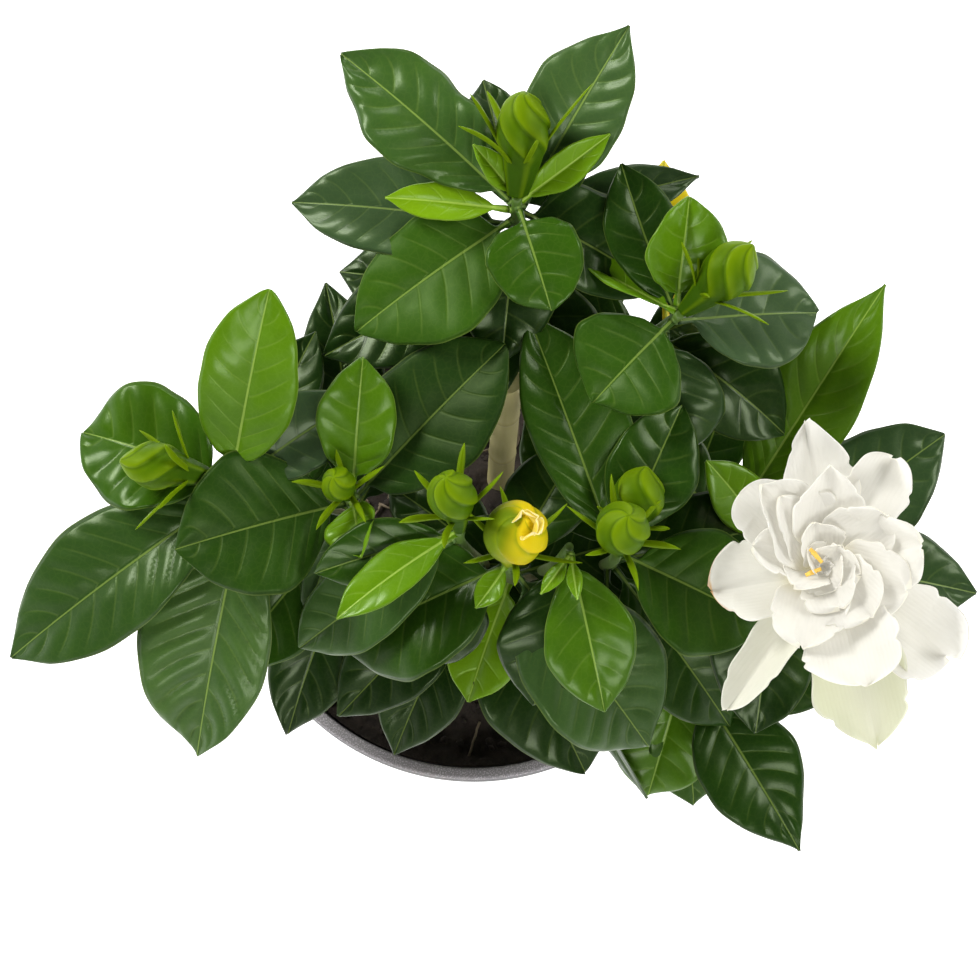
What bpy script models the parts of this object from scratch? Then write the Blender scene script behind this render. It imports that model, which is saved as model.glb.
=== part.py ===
"""Potted gardenia: a moulded nursery pot, its root ball, a bamboo cane and a young double gardenia.

Run with blender --background --python part.py, or from Blender's text editor. Metres, +Z up.
The origin is on the pot's axis, on the ground under the pot. +Y is the plant's back.

The plant has three rooted stems. Each stem branches into shoots, and each shoot carries leaves,
and a flower bud or the open flower at its end. Every leaf, bud, petal and stem is its own solid.
"""
import math

import bmesh
import bpy
from mathutils import Matrix, Vector
from mathutils.bvhtree import BVHTree

MM = 0.001
GAP = 0.3 * MM                  # clearance between pieces that touch

# Pot
POT_HEIGHT = 115 * MM
RIM_RADIUS = 65 * MM
RIM_WIDTH = 3.2 * MM
RIM_DEPTH = 9 * MM
WALL = 1.4 * MM
WALL_TOP_RADIUS = 62.8 * MM     # outside of the wall just under the rim
FOOT_RADIUS = 47 * MM
FOOT_INNER_RADIUS = 38 * MM
PAD_RADIUS = 26 * MM
BASE_RECESS = 3 * MM
DRAIN_HOLES = 8
DRAIN_HOLE_RADIUS = 4 * MM
POT_SIDES = 40

# Root ball and cane
SOIL_TOP = 103 * MM
SOIL_CROWN = 1.5 * MM
CANE_RADIUS = 3.6 * MM
CANE_BOTTOM = Vector((6, 14, 40)) * MM
CANE_TOP = Vector((9, 27, 200)) * MM
CANE_NODE_EVERY = 38 * MM

# Stems: route points in mm from below the soil to the apex, then the radius at each end in mm.
ROOT_DEPTH = 22 * MM
STEMS = {
    "stem_back": {
        "back": ([(10, 30, 81), (10, 30, 104), (10, 34, 130), (10, 47, 175), (11, 66, 232)], 3.0, 1.5),
        "side": ([(10, 34, 130), (22, 38, 156), (42, 39, 190), (51, 39, 222)], 2.2, 1.5),
    },
    "stem_left": {
        "left": ([(-18, 0, 81), (-18, 0, 104), (-23, 0, 130), (-42, 1, 165), (-62, 1, 203)], 2.9, 1.5),
        "mid": ([(-23, 0, 130), (-28, -2, 160), (-30, -3, 180), (-30, -3, 201)], 2.1, 1.4),
    },
    "stem_front": {
        "front": ([(12, -12, 81), (12, -12, 104), (12, -15, 130), (10, -18, 170), (9, -19, 202)], 3.1, 1.6),
        "centre": ([(12, -15, 130), (3, -13, 155), (-3, -12, 185), (-3, -13, 212)], 2.1, 1.5),
        "inner": ([(11, -16, 150), (20, -17, 178), (24, -17, 212)], 1.8, 1.3),
        "right": ([(12, -14, 122), (28, -14, 150), (35, -16, 180), (36, -17, 204)], 2.1, 1.5),
        "flower": ([(12, -13, 114), (36, -3, 138), (58, -1, 159), (73, -8, 174), (82.5, -20, 187)], 2.4, 1.9),
        "low": ([(12, -12, 108), (30, -26, 122), (48, -37, 139), (60, -43, 152)], 2.0, 1.4),
    },
}
STEM_POINT_EVERY = 9 * MM

# Leaves: name: (shoot, mm below its apex, azimuth, rise of the chord, length, width, droop, roll).
# Azimuth turns from +X towards +Y. Length runs from the stem to the tip. Angles are in degrees.
LEAVES = {
    "leaf_back_1": ("back", 5, 139, 5, 55, 26, 34, 0),
    "leaf_back_2": ("back", 13, 172, -8, 55, 25, 30, 0),
    "leaf_back_3": ("back", 9, -146, -22, 47, 30, 34, 0),
    "leaf_back_4": ("back", 3, -72, -10, 26, 24, 46, 0),
    "leaf_back_5": ("back", 10, 57, 28, 51, 26, 24, 0),
    "leaf_back_6": ("back", 14, 16, 0, 45, 19, 28, 0),
    "leaf_back_7": ("back", 6, 176, 6, 30, 10, 20, 0),
    "leaf_side_1": ("side", 4, 84, 34, 28, 21, 20, 10),
    "leaf_side_2": ("side", 9, 6, -12, 36, 30, 30, 0),
    "leaf_side_3": ("side", 3, -134, -4, 28, 31, 40, 0),
    "leaf_side_4": ("side", 13, -84, -30, 32, 27, 36, 0),
    "leaf_flower_1": ("flower", 30, 56, 30, 73, 25, 24, 0),
    "leaf_flower_2": ("flower", 9, 36, 6, 49, 28, 26, 0),
    "leaf_flower_3": ("flower", 8, -9, -12, 48, 24, 24, 0),
    "leaf_low_1": ("low", 4, -58, -10, 50, 29, 34, 0),
    "leaf_low_2": ("low", 8, -106, -30, 34, 25, 30, 0),
    "leaf_left_1": ("left", 4, 75, 38, 52, 25, 24, 0),
    "leaf_left_2": ("left", 7, 160, -10, 40, 33, 50, 0),
    "leaf_left_3": ("left", 9, -147, -23, 77, 32, 30, 0),
    "leaf_left_4": ("left", 12, -103, -29, 74, 38, 40, 0),
    "leaf_mid_1": ("mid", 6, -163, -3, 44, 37, 26, 0),
    "leaf_mid_2": ("mid", 3, 84, 34, 35, 20, 26, 0),
    "leaf_mid_3": ("mid", 6, 43, 22, 54, 33, 30, 0),
    "leaf_mid_4": ("mid", 22, -132, -22, 53, 28, 30, 0),
    "leaf_centre_1": ("centre", 12, -149, -34, 53, 23, 30, 0),
    "leaf_front_1": ("front", 7, -158, -26, 49, 36, 34, 0),
    "leaf_front_2": ("centre", 50, -62, -20, 62, 34, 36, 0),
    "leaf_front_3": ("front", 9, -50, -28, 61, 36, 34, 0),
    "leaf_right_1": ("right", 9, 111, 16, 62, 28, 26, 0),
    "leaf_right_2": ("right", 5, 66, 6, 38, 23, 30, 0),
    "leaf_right_3": ("right", 3, -24, -16, 40, 32, 34, 0),
    "leaf_right_4": ("right", 24, -51, -32, 55, 26, 34, 0),
    "leaf_inner_1": ("inner", 2, -77, -20, 41, 23, 34, 0),
}
PETIOLE = 5 * MM
PETIOLE_RADIUS = 0.9 * MM
LEAF_THICKNESS = 0.7 * MM
LEAF_FOLD = 14                  # degrees that each half of a blade rises from the midrib
LEAF_OUTLINE = (0.85, 0.72)     # powers of the outline towards the stem and towards the tip
BLADE_STATIONS = 9

# Buds: name: (shoot, azimuth, rise, length, diameter in mm, number of sepals, sepal length in mm).
BUDS = {
    "bud_back": ("back", 86, 42, 27, 13.5, 6, 17),
    "bud_side": ("side", 38, 38, 26, 13.5, 6, 14),
    "bud_left": ("left", 172, 18, 25, 12.5, 6, 14),
    "bud_mid": ("mid", 150, 74, 16, 9, 5, 11),
    "bud_centre": ("centre", 110, 66, 23, 12.5, 6, 13),
    "bud_front": ("front", 60, 74, 26, 16.5, 6, 13),
    "bud_right": ("right", 70, 76, 22, 14, 6, 13),
}
BUD_LOBES = 5
BUD_SIDES = 10
BUD_TWIST = 130                 # degrees that the rolled petals turn over the bud's length
CALYX_SHARE = 0.36              # part of the bud's length that the calyx covers

# Flower: petal name: (azimuth, rise, length, width, droop, roll, distance from the axis, height in mm).
FLOWER_BASE = Vector((84, -21, 189.5)) * MM
FLOWER_TUBE = 24 * MM
FLOWER_TUBE_RADIUS = 2.6 * MM
PETALS = {
    "petal_inner_1": (100, 66, 17, 13, -30, 16, 1.3, 1.6),
    "petal_inner_2": (220, 66, 17, 13, -30, 16, 1.3, 1.6),
    "petal_inner_3": (340, 66, 17, 13, -30, 16, 1.3, 1.6),
    "petal_mid_1": (-78, 22, 30, 26, 34, 10, 2.6, 0.6),
    "petal_mid_2": (12, 30, 27, 22, 24, 10, 2.6, 0.6),
    "petal_mid_3": (132, 34, 28, 21, 24, 10, 2.6, 0.6),
    "petal_outer_1": (-127, -16, 39, 19, 34, 8, 3.6, -1.2),
    "petal_outer_2": (-72, -26, 44, 25, 30, 8, 3.6, -1.4),
    "petal_outer_3": (-34, -10, 34, 26, 30, 8, 3.6, -1.2),
    "petal_outer_4": (60, 10, 29, 19, 24, 8, 3.6, -0.8),
    "petal_outer_5": (99, 12, 34, 20, 24, 8, 3.6, -0.6),
    "petal_outer_6": (140, 10, 26, 19, 26, 8, 3.6, -0.6),
    "petal_outer_7": (188, -4, 26, 23, 30, 8, 3.6, -1.0),
}
PETAL_CLAW = 2.5 * MM
PETAL_CLAW_RADIUS = 0.8 * MM
PETAL_THICKNESS = 0.8 * MM
PETAL_FOLD = 16
PETAL_OUTLINE = (0.8, 0.42)

# Materials: base colour, metallic, roughness.
MATERIALS = {
    "pot": ((0.035, 0.036, 0.038), 0.0, 0.55),
    "soil": ((0.045, 0.030, 0.020), 0.0, 0.95),
    "cane": ((0.52, 0.43, 0.24), 0.0, 0.55),
    "stem": ((0.14, 0.17, 0.06), 0.0, 0.6),
    "leaf": ((0.035, 0.13, 0.025), 0.0, 0.3),
    "bud": ((0.25, 0.45, 0.05), 0.0, 0.4),
    "petal": ((0.86, 0.85, 0.74), 0.0, 0.5),
}


def clear_scene():
    for item in list(bpy.data.objects):
        bpy.data.objects.remove(item, do_unlink=True)


def new_collection(name):
    collection = bpy.data.collections.new(name)
    bpy.context.scene.collection.children.link(collection)
    return collection


def material(kind):
    """The Principled BSDF material of one kind of piece, made once."""
    if kind in bpy.data.materials:
        return bpy.data.materials[kind]
    colour, metallic, roughness = MATERIALS[kind]
    made = bpy.data.materials.new(kind)
    made.use_nodes = True
    shader = made.node_tree.nodes["Principled BSDF"]
    shader.inputs["Base Color"].default_value = (*colour, 1.0)
    shader.inputs["Metallic"].default_value = metallic
    shader.inputs["Roughness"].default_value = roughness
    made.diffuse_color = (*colour, 1.0)
    return made


def add_object(name, data, collection, kind):
    made = bpy.data.objects.new(name, data)
    data.materials.append(material(kind))
    collection.objects.link(made)
    return made


def finish_mesh(name, built, collection, kind, angle=40):
    """Turns a bmesh into a smooth-shaded object with outward faces."""
    bmesh.ops.recalc_face_normals(built, faces=built.faces)
    mesh = bpy.data.meshes.new(name)
    built.to_mesh(mesh)
    built.free()
    mesh.shade_smooth()
    mesh.set_sharp_from_angle(angle=math.radians(angle))
    return add_object(name, mesh, collection, kind)


def boolean(target, other, operation):
    """Cuts or joins target with other, which becomes a hidden tool object."""
    modifier = target.modifiers.new(other.name, "BOOLEAN")
    modifier.operation = operation
    modifier.object = other
    other.hide_render = True
    other.display_type = "WIRE"


def loft(rings, tip=None):
    """A closed body through rings of the same number of points, ended by a cap or by one tip point."""
    built = bmesh.new()
    rows = [[built.verts.new(point) for point in ring] for ring in rings]
    count = len(rows[0])
    for row, following in zip(rows, rows[1:]):
        for i in range(count):
            j = (i + 1) % count
            built.faces.new((row[i], row[j], following[j], following[i]))
    built.faces.new(rows[0])
    if tip is None:
        built.faces.new(rows[-1])
    else:
        point = built.verts.new(tip)
        for i in range(count):
            built.faces.new((rows[-1][i], rows[-1][(i + 1) % count], point))
    bmesh.ops.triangulate(built, faces=built.faces)
    return built


# ---------------------------------------------------------------- pot, root ball and cane

def inner_wall_radius(height):
    """Inside radius of the tapered wall at a height above the ground."""
    foot_inside = FOOT_RADIUS - WALL
    top_inside = WALL_TOP_RADIUS - WALL
    return foot_inside + (top_inside - foot_inside) * height / (POT_HEIGHT - RIM_DEPTH)


def turned(name, profile, collection, kind, sides=POT_SIDES):
    """Turns a profile of (radius, height) points, which runs from the axis round to the axis."""
    built = bmesh.new()
    points = [built.verts.new((radius, 0, height)) for radius, height in profile]
    for start, end in zip(points, points[1:]):
        built.edges.new((start, end))
    mesh = bpy.data.meshes.new(name)
    built.to_mesh(mesh)
    built.free()
    made = add_object(name, mesh, collection, kind)
    screw = made.modifiers.new("turn", "SCREW")
    screw.steps = sides
    screw.render_steps = sides
    screw.use_merge_vertices = True
    screw.merge_threshold = 0.00005
    return made


def make_pot(parts, tools):
    floor_top = BASE_RECESS + WALL
    step = 1.5 * MM
    lip = 0.8 * MM
    profile = [
        (0, WALL + 0.2 * MM),
        (PAD_RADIUS - 2 * step, WALL + 0.2 * MM),
        (PAD_RADIUS, floor_top),
        (FOOT_INNER_RADIUS, floor_top),
        (FOOT_INNER_RADIUS + 2 * step, WALL + 0.2 * MM),
        (inner_wall_radius(0) - step, WALL + 0.2 * MM),
        (inner_wall_radius(4 * MM), 4 * MM),
        (inner_wall_radius(60 * MM), 60 * MM),
        (inner_wall_radius(POT_HEIGHT - RIM_DEPTH), POT_HEIGHT - RIM_DEPTH),
        (RIM_RADIUS - RIM_WIDTH, POT_HEIGHT - lip),
        (RIM_RADIUS - RIM_WIDTH + lip, POT_HEIGHT),
        (RIM_RADIUS - lip, POT_HEIGHT),
        (RIM_RADIUS, POT_HEIGHT - lip),
        (RIM_RADIUS - 0.4 * MM, POT_HEIGHT - RIM_DEPTH),
        (WALL_TOP_RADIUS, POT_HEIGHT - RIM_DEPTH),
        (inner_wall_radius(60 * MM) + WALL, 60 * MM),
        (FOOT_RADIUS + 0.3 * MM, 2 * MM),
        (FOOT_RADIUS - 0.8 * MM, 0),
        (FOOT_INNER_RADIUS + step, 0),
        (FOOT_INNER_RADIUS, BASE_RECESS),
        (PAD_RADIUS, BASE_RECESS),
        (PAD_RADIUS - step, 0),
        (0, 0),
    ]
    pot = turned("pot", profile, parts, "pot")
    ring = (PAD_RADIUS + FOOT_INNER_RADIUS) / 2
    drill = bmesh.new()
    for i in range(DRAIN_HOLES):
        angle = 2 * math.pi * (i + 0.5) / DRAIN_HOLES
        place = Matrix.Translation((ring * math.cos(angle), ring * math.sin(angle), BASE_RECESS))
        bmesh.ops.create_cone(drill, cap_ends=True, segments=12, radius1=DRAIN_HOLE_RADIUS,
                              radius2=DRAIN_HOLE_RADIUS, depth=4 * WALL, matrix=place)
    boolean(pot, finish_mesh("drain_drill", drill, tools, "pot"), "DIFFERENCE")
    return pot


def make_soil(parts, tools, sockets):
    """The root ball, which fills the pot to SOIL_TOP, with a socket for each rooted stem and the cane."""
    bottom = BASE_RECESS + WALL + GAP
    wall_gap = GAP + 0.2 * MM
    profile = [
        (0, SOIL_TOP + SOIL_CROWN),
        (20 * MM, SOIL_TOP + SOIL_CROWN),
        (42 * MM, SOIL_TOP + 0.6 * SOIL_CROWN),
        (inner_wall_radius(SOIL_TOP) - wall_gap, SOIL_TOP),
        (inner_wall_radius(bottom) - wall_gap - 1.2 * MM, bottom),
        (0, bottom),
    ]
    soil = turned("soil", profile, parts, "soil", sides=32)
    for index, (start, end, radius) in enumerate(sockets):
        axis = end - start
        drill = bmesh.new()
        bmesh.ops.create_cone(drill, cap_ends=True, segments=12, radius1=radius, radius2=radius,
                              depth=axis.length)
        turn = Vector((0, 0, 1)).rotation_difference(axis).to_matrix().to_4x4()
        bmesh.ops.transform(drill, verts=drill.verts, matrix=Matrix.Translation((start + end) / 2) @ turn)
        boolean(soil, finish_mesh(f"socket_drill_{index}", drill, tools, "soil"), "DIFFERENCE")
    return soil


def make_cane(parts):
    """A bamboo cane, cut square at the top, with a raised ring at each node."""
    axis = CANE_TOP - CANE_BOTTOM
    along = axis.normalized()
    side = along.cross(Vector((0, 1, 0))).normalized()
    other = along.cross(side)
    stations = [(0.0, 1.0)]
    node = 0.45 * CANE_NODE_EVERY
    while node < axis.length - 6 * MM:
        stations += [(node - 2 * MM, 1.0), (node - 0.5 * MM, 1.16)]
        stations += [(node + 0.8 * MM, 1.12), (node + 2 * MM, 0.97)]
        node += CANE_NODE_EVERY
    stations.append((axis.length, 0.97))
    sides = 12
    rings = []
    for distance, swell in stations:
        centre = CANE_BOTTOM + along * distance
        radius = CANE_RADIUS * swell
        rings.append([centre + (side * math.cos(a) + other * math.sin(a)) * radius
                      for a in (2 * math.pi * i / sides for i in range(sides))])
    return finish_mesh("bamboo_cane", loft(rings), parts, "cane")


# ---------------------------------------------------------------- stems

def smooth_route(points, every):
    """Points about every metres apart along a smooth curve through the route's points."""
    route = [Vector(point) for point in points]
    ends = [2 * route[0] - route[1], *route, 2 * route[-1] - route[-2]]
    result = []
    for p0, p1, p2, p3 in zip(ends, ends[1:], ends[2:], ends[3:]):
        steps = max(2, round((p2 - p1).length / every))
        for i in range(steps):
            t = i / steps
            result.append(0.5 * (2 * p1 + (p2 - p0) * t + (2 * p0 - 5 * p1 + 4 * p2 - p3) * t * t
                                 + (3 * p1 - p0 - 3 * p2 + p3) * t ** 3))
    result.append(route[-1])
    return result


class Shoot:
    """One tapered shoot: where its axis runs and how thick it is."""

    def __init__(self, plan):
        route, self.start_radius, self.end_radius = plan
        self.start_radius *= MM
        self.end_radius *= MM
        self.points = smooth_route([Vector(point) * MM for point in route], STEM_POINT_EVERY)

    def radius(self, share):
        return self.start_radius + (self.end_radius - self.start_radius) * share

    def below_apex(self, distance):
        """The point, direction and radius at a distance back from the apex."""
        left = distance
        spans = list(zip(self.points[::-1], self.points[-2::-1]))
        for upper, lower in spans:
            length = (upper - lower).length
            if left <= length:
                break
            left -= length
        direction = (upper - lower).normalized()
        total = sum((a - b).length for a, b in spans)
        return upper - direction * left, direction, self.radius(1 - distance / total)


def tube(name, shoot, collection):
    """A tapered tube along a shoot, as a mesh that a Boolean can use."""
    curve = bpy.data.curves.new(name, "CURVE")
    curve.dimensions = "3D"
    curve.bevel_depth = 1.0
    curve.bevel_resolution = 2
    curve.use_fill_caps = True
    spline = curve.splines.new("POLY")
    spline.points.add(len(shoot.points) - 1)
    last = len(shoot.points) - 1
    for i, (place, point) in enumerate(zip(shoot.points, spline.points)):
        point.co = (*place, 1.0)
        point.radius = shoot.radius(i / last)
    guide = bpy.data.objects.new(f"{name}_guide", curve)
    collection.objects.link(guide)
    evaluated = guide.evaluated_get(bpy.context.evaluated_depsgraph_get())
    mesh = bpy.data.meshes.new_from_object(evaluated)
    built = bmesh.new()
    built.from_mesh(mesh)
    bmesh.ops.remove_doubles(built, verts=built.verts, dist=0.00001)
    bpy.data.objects.remove(guide, do_unlink=True)
    bpy.data.meshes.remove(mesh)
    return finish_mesh(name, built, collection, "stem")


def make_stems(parts, tools, shoots):
    """Each rooted stem is one solid: its main shoot joined with the shoots that branch from it."""
    stems = {}
    for name, branches in STEMS.items():
        main, *others = branches
        stem = tube(name, shoots[main], parts)
        for branch in others:
            boolean(stem, tube(f"{name}_{branch}", shoots[branch], tools), "UNION")
        stems[name] = stem
    return stems


# ---------------------------------------------------------------- leaves and petals

def blade_rings(start, azimuth, rise, length, width, droop, roll, shape, spare=0.0):
    """Rings of eight points along a leaf or petal, and its tip.

    shape holds the stalk's length and radius, the thickness, the fold and the outline's powers.
    spare thickens and widens the blade, to test its clearance.
    """
    stalk, stalk_radius, thickness, fold, (to_stem, to_tip) = shape
    heading = math.radians(azimuth)
    forward = Vector((math.cos(heading), math.sin(heading), 0))
    left = Vector((-math.sin(heading), math.cos(heading), 0))
    peak = to_stem / (to_stem + to_tip)
    highest = peak ** to_stem * (1 - peak) ** to_tip
    blade = length - stalk
    shares = [0.0, 0.5 * stalk / length, stalk / length]
    blade_shares = [0.05 + 0.9 * i / (BLADE_STATIONS - 1) for i in range(BLADE_STATIONS)]
    shares += [(stalk + blade * share) / length for share in blade_shares]
    shares.append(1.0)
    half_turn = math.pi / 4
    place = start.copy()
    rings = []
    previous = 0.0
    for share in shares:
        pitch = math.radians(rise + droop * (0.5 - share))
        middle = math.radians(rise + droop * (0.5 - (share + previous) / 2))
        step = forward * math.cos(middle) + Vector((0, 0, math.sin(middle)))
        place = place + step * (share - previous) * length
        previous = share
        along = forward * math.cos(pitch) + Vector((0, 0, math.sin(pitch)))
        turn = Matrix.Rotation(math.radians(roll), 3, along)
        side = turn @ left
        up = along.cross(side)
        if share * length <= stalk + 1e-9:
            radius = stalk_radius + spare
            ring = [place + (side * math.cos(i * half_turn) + up * math.sin(i * half_turn)) * radius
                    for i in range(8)]
            rings.append(ring)
            continue
        u = (share * length - stalk) / blade
        if share == 1.0:
            break
        half = 0.5 * width * (u ** to_stem * (1 - u) ** to_tip) / highest + spare
        thick = thickness / 2 + spare
        keel = 0.5 * MM * (1 - u)

        def point(across, lift):
            height = half * abs(across) * math.tan(math.radians(fold)) * (1.15 - 0.3 * abs(across))
            return place + side * half * across + up * (height + lift)

        rings.append([point(1, 0), point(0.5, thick), point(0, thick), point(-0.5, thick),
                      point(-1, 0), point(-0.5, -thick), point(0, -thick - keel), point(0.5, -thick)])
    return rings, place


class Placed:
    """The solids that are already in place, for clearance tests."""

    def __init__(self):
        self.trees = []

    def add(self, obj):
        evaluated = obj.evaluated_get(bpy.context.evaluated_depsgraph_get())
        mesh = evaluated.to_mesh()
        built = bmesh.new()
        built.from_mesh(mesh)
        built.transform(obj.matrix_world)
        self.add_built(built)
        built.free()
        evaluated.to_mesh_clear()

    def add_built(self, built):
        self.trees.append(BVHTree.FromBMesh(built))

    def clear_of(self, built):
        tree = BVHTree.FromBMesh(built)
        return not any(tree.overlap(other) for other in self.trees)


def nudges(steps):
    """Small turns (rise, azimuth, roll) in degrees, the smallest first."""
    tried = [(a, b, c) for a in steps for b in (0, 5, -5, 10, -10) for c in (0, 10, -10, 20, -20)]
    return sorted(tried, key=lambda turn: (abs(turn[0]) + 1.2 * abs(turn[1]) + 0.5 * abs(turn[2]), turn))


LEAF_NUDGES = nudges((0, 3, -3, 6, -6, 9, -9, 12, -12, 16, -16, 20, -20))
PETAL_NUDGES = nudges((0, 4, -4, 8, -8, 12, -12, 16, -16, 20, -20, 26, -26, 32, -32, 38, -38))


def place_blade(name, start_of, azimuth, rise, length, width, droop, roll, shape, turns, placed):
    """Turns a blade by the smallest nudge that clears everything in place, and returns its bmesh."""
    for lift, swing, tip in turns:
        heading = azimuth + swing
        pitch = rise + lift
        start = start_of(heading, pitch + droop / 2)
        rings, end = blade_rings(start, heading, pitch, length, width, droop, roll + tip, shape, GAP)
        test = loft(rings, end)
        free = placed.clear_of(test)
        test.free()
        if free:
            return loft(*blade_rings(start, heading, pitch, length, width, droop, roll + tip, shape))
    raise ValueError(f"{name} has no clear place")


def make_leaves(parts, shoots, placed):
    shape = (PETIOLE, PETIOLE_RADIUS, LEAF_THICKNESS, LEAF_FOLD, LEAF_OUTLINE)
    for name, (shoot, below, azimuth, rise, length, width, droop, roll) in LEAVES.items():
        point, stem_way, radius = shoots[shoot].below_apex(below * MM)

        def start_of(heading, pitch):
            """Where the petiole starts, just clear of the stem's skin."""
            turn = math.radians(heading)
            tilt = math.radians(pitch)
            way = Vector((math.cos(turn) * math.cos(tilt), math.sin(turn) * math.cos(tilt), math.sin(tilt)))
            slope = abs(way.dot(stem_way))
            sine = max(0.45, math.sqrt(max(0.0, 1 - slope * slope)))
            reach = (radius + 2 * GAP + 0.1 * MM + (PETIOLE_RADIUS + GAP) * slope) / sine
            return point + way * reach

        built = place_blade(name, start_of, azimuth, rise, length * MM, width * MM, droop, roll, shape,
                            LEAF_NUDGES, placed)
        placed.add_built(built)
        finish_mesh(name, built, parts, "leaf")


# ---------------------------------------------------------------- buds and flower

def frame_along(way):
    """Two unit vectors square to a direction, and to each other."""
    reference = Vector((0, 0, 1)) if abs(way.z) < 0.95 else Vector((0, 1, 0))
    side = way.cross(reference).normalized()
    return side, side.cross(way).normalized()


def direction(azimuth, rise):
    turn = math.radians(azimuth)
    tilt = math.radians(rise)
    return Vector((math.cos(turn) * math.cos(tilt), math.sin(turn) * math.cos(tilt), math.sin(tilt)))


def lobed_ring(centre, side, up, radius, turn, depth):
    ring = []
    for i in range(BUD_SIDES):
        angle = 2 * math.pi * i / BUD_SIDES
        lobed = radius * (1 + depth * math.cos(BUD_LOBES * (angle - turn)))
        ring.append(centre + (side * math.cos(angle + turn) + up * math.sin(angle + turn)) * lobed)
    return ring


def sepal(built, start, way, spread, length, width):
    """One narrow sepal, added to a bmesh: it leaves along way and bends outwards to spread."""
    rings = []
    stations = 5
    place = start.copy()
    for i in range(stations):
        share = i / stations
        along = way.lerp(spread, share ** 0.7).normalized()
        side = along.cross(way.cross(spread).normalized()).normalized()
        flat = side.cross(along).normalized()
        half = 0.5 * width * (1 - 0.75 * share)
        thin = 0.4 * half
        rings.append([place + flat * half, place + side * thin, place - flat * half, place - side * thin])
        place = place + along * (length / stations)
    single = loft(rings, place)
    bmesh.ops.recalc_face_normals(single, faces=single.faces)
    mesh = bpy.data.meshes.new("sepal")
    single.to_mesh(mesh)
    single.free()
    built.from_mesh(mesh)
    bpy.data.meshes.remove(mesh)


def add_sepals(name, body, centre, way, radius, count, length, tools):
    """Joins a ring of sepals to a calyx."""
    side, up = frame_along(way)
    crown = bmesh.new()
    for i in range(count):
        angle = 2 * math.pi * (i + 0.25) / count
        outward = side * math.cos(angle) + up * math.sin(angle)
        reach = length * (0.85 + 0.15 * math.cos(2.3 * i))
        lean = 0.75 + 0.25 * math.cos(1.7 * i + 1.0)
        sepal(crown, centre + outward * radius * 0.72, (way + 0.25 * outward).normalized(),
              (way + lean * outward).normalized(), reach, 2.2 * MM)
    boolean(body, finish_mesh(f"{name}_sepals", crown, tools, "bud"), "UNION")


def make_buds(parts, tools, shoots):
    """Each bud is rolled petals over a calyx, as one solid with its sepals."""
    buds = []
    for name, (shoot, azimuth, rise, length, diameter, sepals, sepal_length) in BUDS.items():
        apex, stem_way, stem_radius = shoots[shoot].below_apex(0.0)
        way = direction(azimuth, rise)
        slope = way.dot(stem_way)
        start = apex + stem_way * 2 * GAP + way * (stem_radius * math.sqrt(max(0.0, 1 - slope * slope)))
        side, up = frame_along(way)
        length *= MM
        most = 0.5 * diameter * MM
        calyx = CALYX_SHARE * length
        profile = [(0.0, 0.26), (0.10, 0.36), (0.24, 0.50), (CALYX_SHARE, 0.58), (0.50, 0.90),
                   (0.64, 1.0), (0.78, 0.86), (0.89, 0.55), (0.96, 0.28)]
        rings = []
        for share, wide in profile:
            turn = math.radians(BUD_TWIST) * max(0.0, share - CALYX_SHARE)
            depth = 0.07 if share > CALYX_SHARE else 0.04
            rings.append(lobed_ring(start + way * length * share, side, up, most * wide, turn, depth))
        bud = finish_mesh(name, loft(rings, start + way * length), parts, "bud")
        add_sepals(name, bud, start + way * calyx * 0.9, way, most * 0.58, sepals, sepal_length * MM, tools)
        buds.append(bud)
    return buds


def make_flower(parts, tools, placed):
    """The open flower: a calyx and tube, then petals from the inside out, each clear of the last."""
    way = direction(-40, 80)
    side, up = frame_along(way)
    profile = [(0.0, 0.75), (0.15, 1.15), (0.34, 1.3), (0.40, 0.95), (0.8, 0.9), (0.96, 1.0), (1.0, 0.8)]
    rings = []
    for share, wide in profile:
        centre = FLOWER_BASE + way * FLOWER_TUBE * share
        rings.append(lobed_ring(centre, side, up, FLOWER_TUBE_RADIUS * wide, 0.0, 0.03))
    calyx = finish_mesh("flower_calyx", loft(rings), parts, "bud")
    add_sepals("flower_calyx", calyx, FLOWER_BASE + way * FLOWER_TUBE * 0.3, way, FLOWER_TUBE_RADIUS * 1.2,
               6, 13 * MM, tools)
    placed.add(calyx)
    top = FLOWER_BASE + way * (FLOWER_TUBE + 1.5 * MM)
    shape = (PETAL_CLAW, PETAL_CLAW_RADIUS, PETAL_THICKNESS, PETAL_FOLD, PETAL_OUTLINE)
    for name, (azimuth, rise, length, width, droop, roll, away, height) in PETALS.items():

        def start_of(heading, pitch):
            outward = direction(heading, 0)
            return top + outward * (away * MM) + way * (height * MM)

        built = place_blade(name, start_of, azimuth, rise, length * MM, width * MM, droop, roll, shape,
                            PETAL_NUDGES, placed)
        placed.add_built(built)
        finish_mesh(name, built, parts, "petal")


def main():
    clear_scene()
    parts = new_collection("potted_gardenia")
    tools = new_collection("tools")
    shoots = {name: Shoot(plan) for branches in STEMS.values() for name, plan in branches.items()}
    placed = Placed()
    sockets = [(CANE_BOTTOM - Vector((0, 0, 2 * GAP)), CANE_TOP, CANE_RADIUS * 1.2 + GAP)]
    for branches in STEMS.values():
        main_shoot = shoots[next(iter(branches))]
        foot = main_shoot.points[0] - Vector((0, 0, 2 * GAP))
        sockets.append((foot, foot + Vector((0, 0, 2 * ROOT_DEPTH)), main_shoot.start_radius + 3 * GAP))
    pieces = [make_pot(parts, tools), make_soil(parts, tools, sockets), make_cane(parts)]
    pieces += make_stems(parts, tools, shoots).values()
    pieces += make_buds(parts, tools, shoots)
    bpy.context.view_layer.update()
    for piece in pieces:
        placed.add(piece)
    make_flower(parts, tools, placed)
    make_leaves(parts, shoots, placed)


main()
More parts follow.
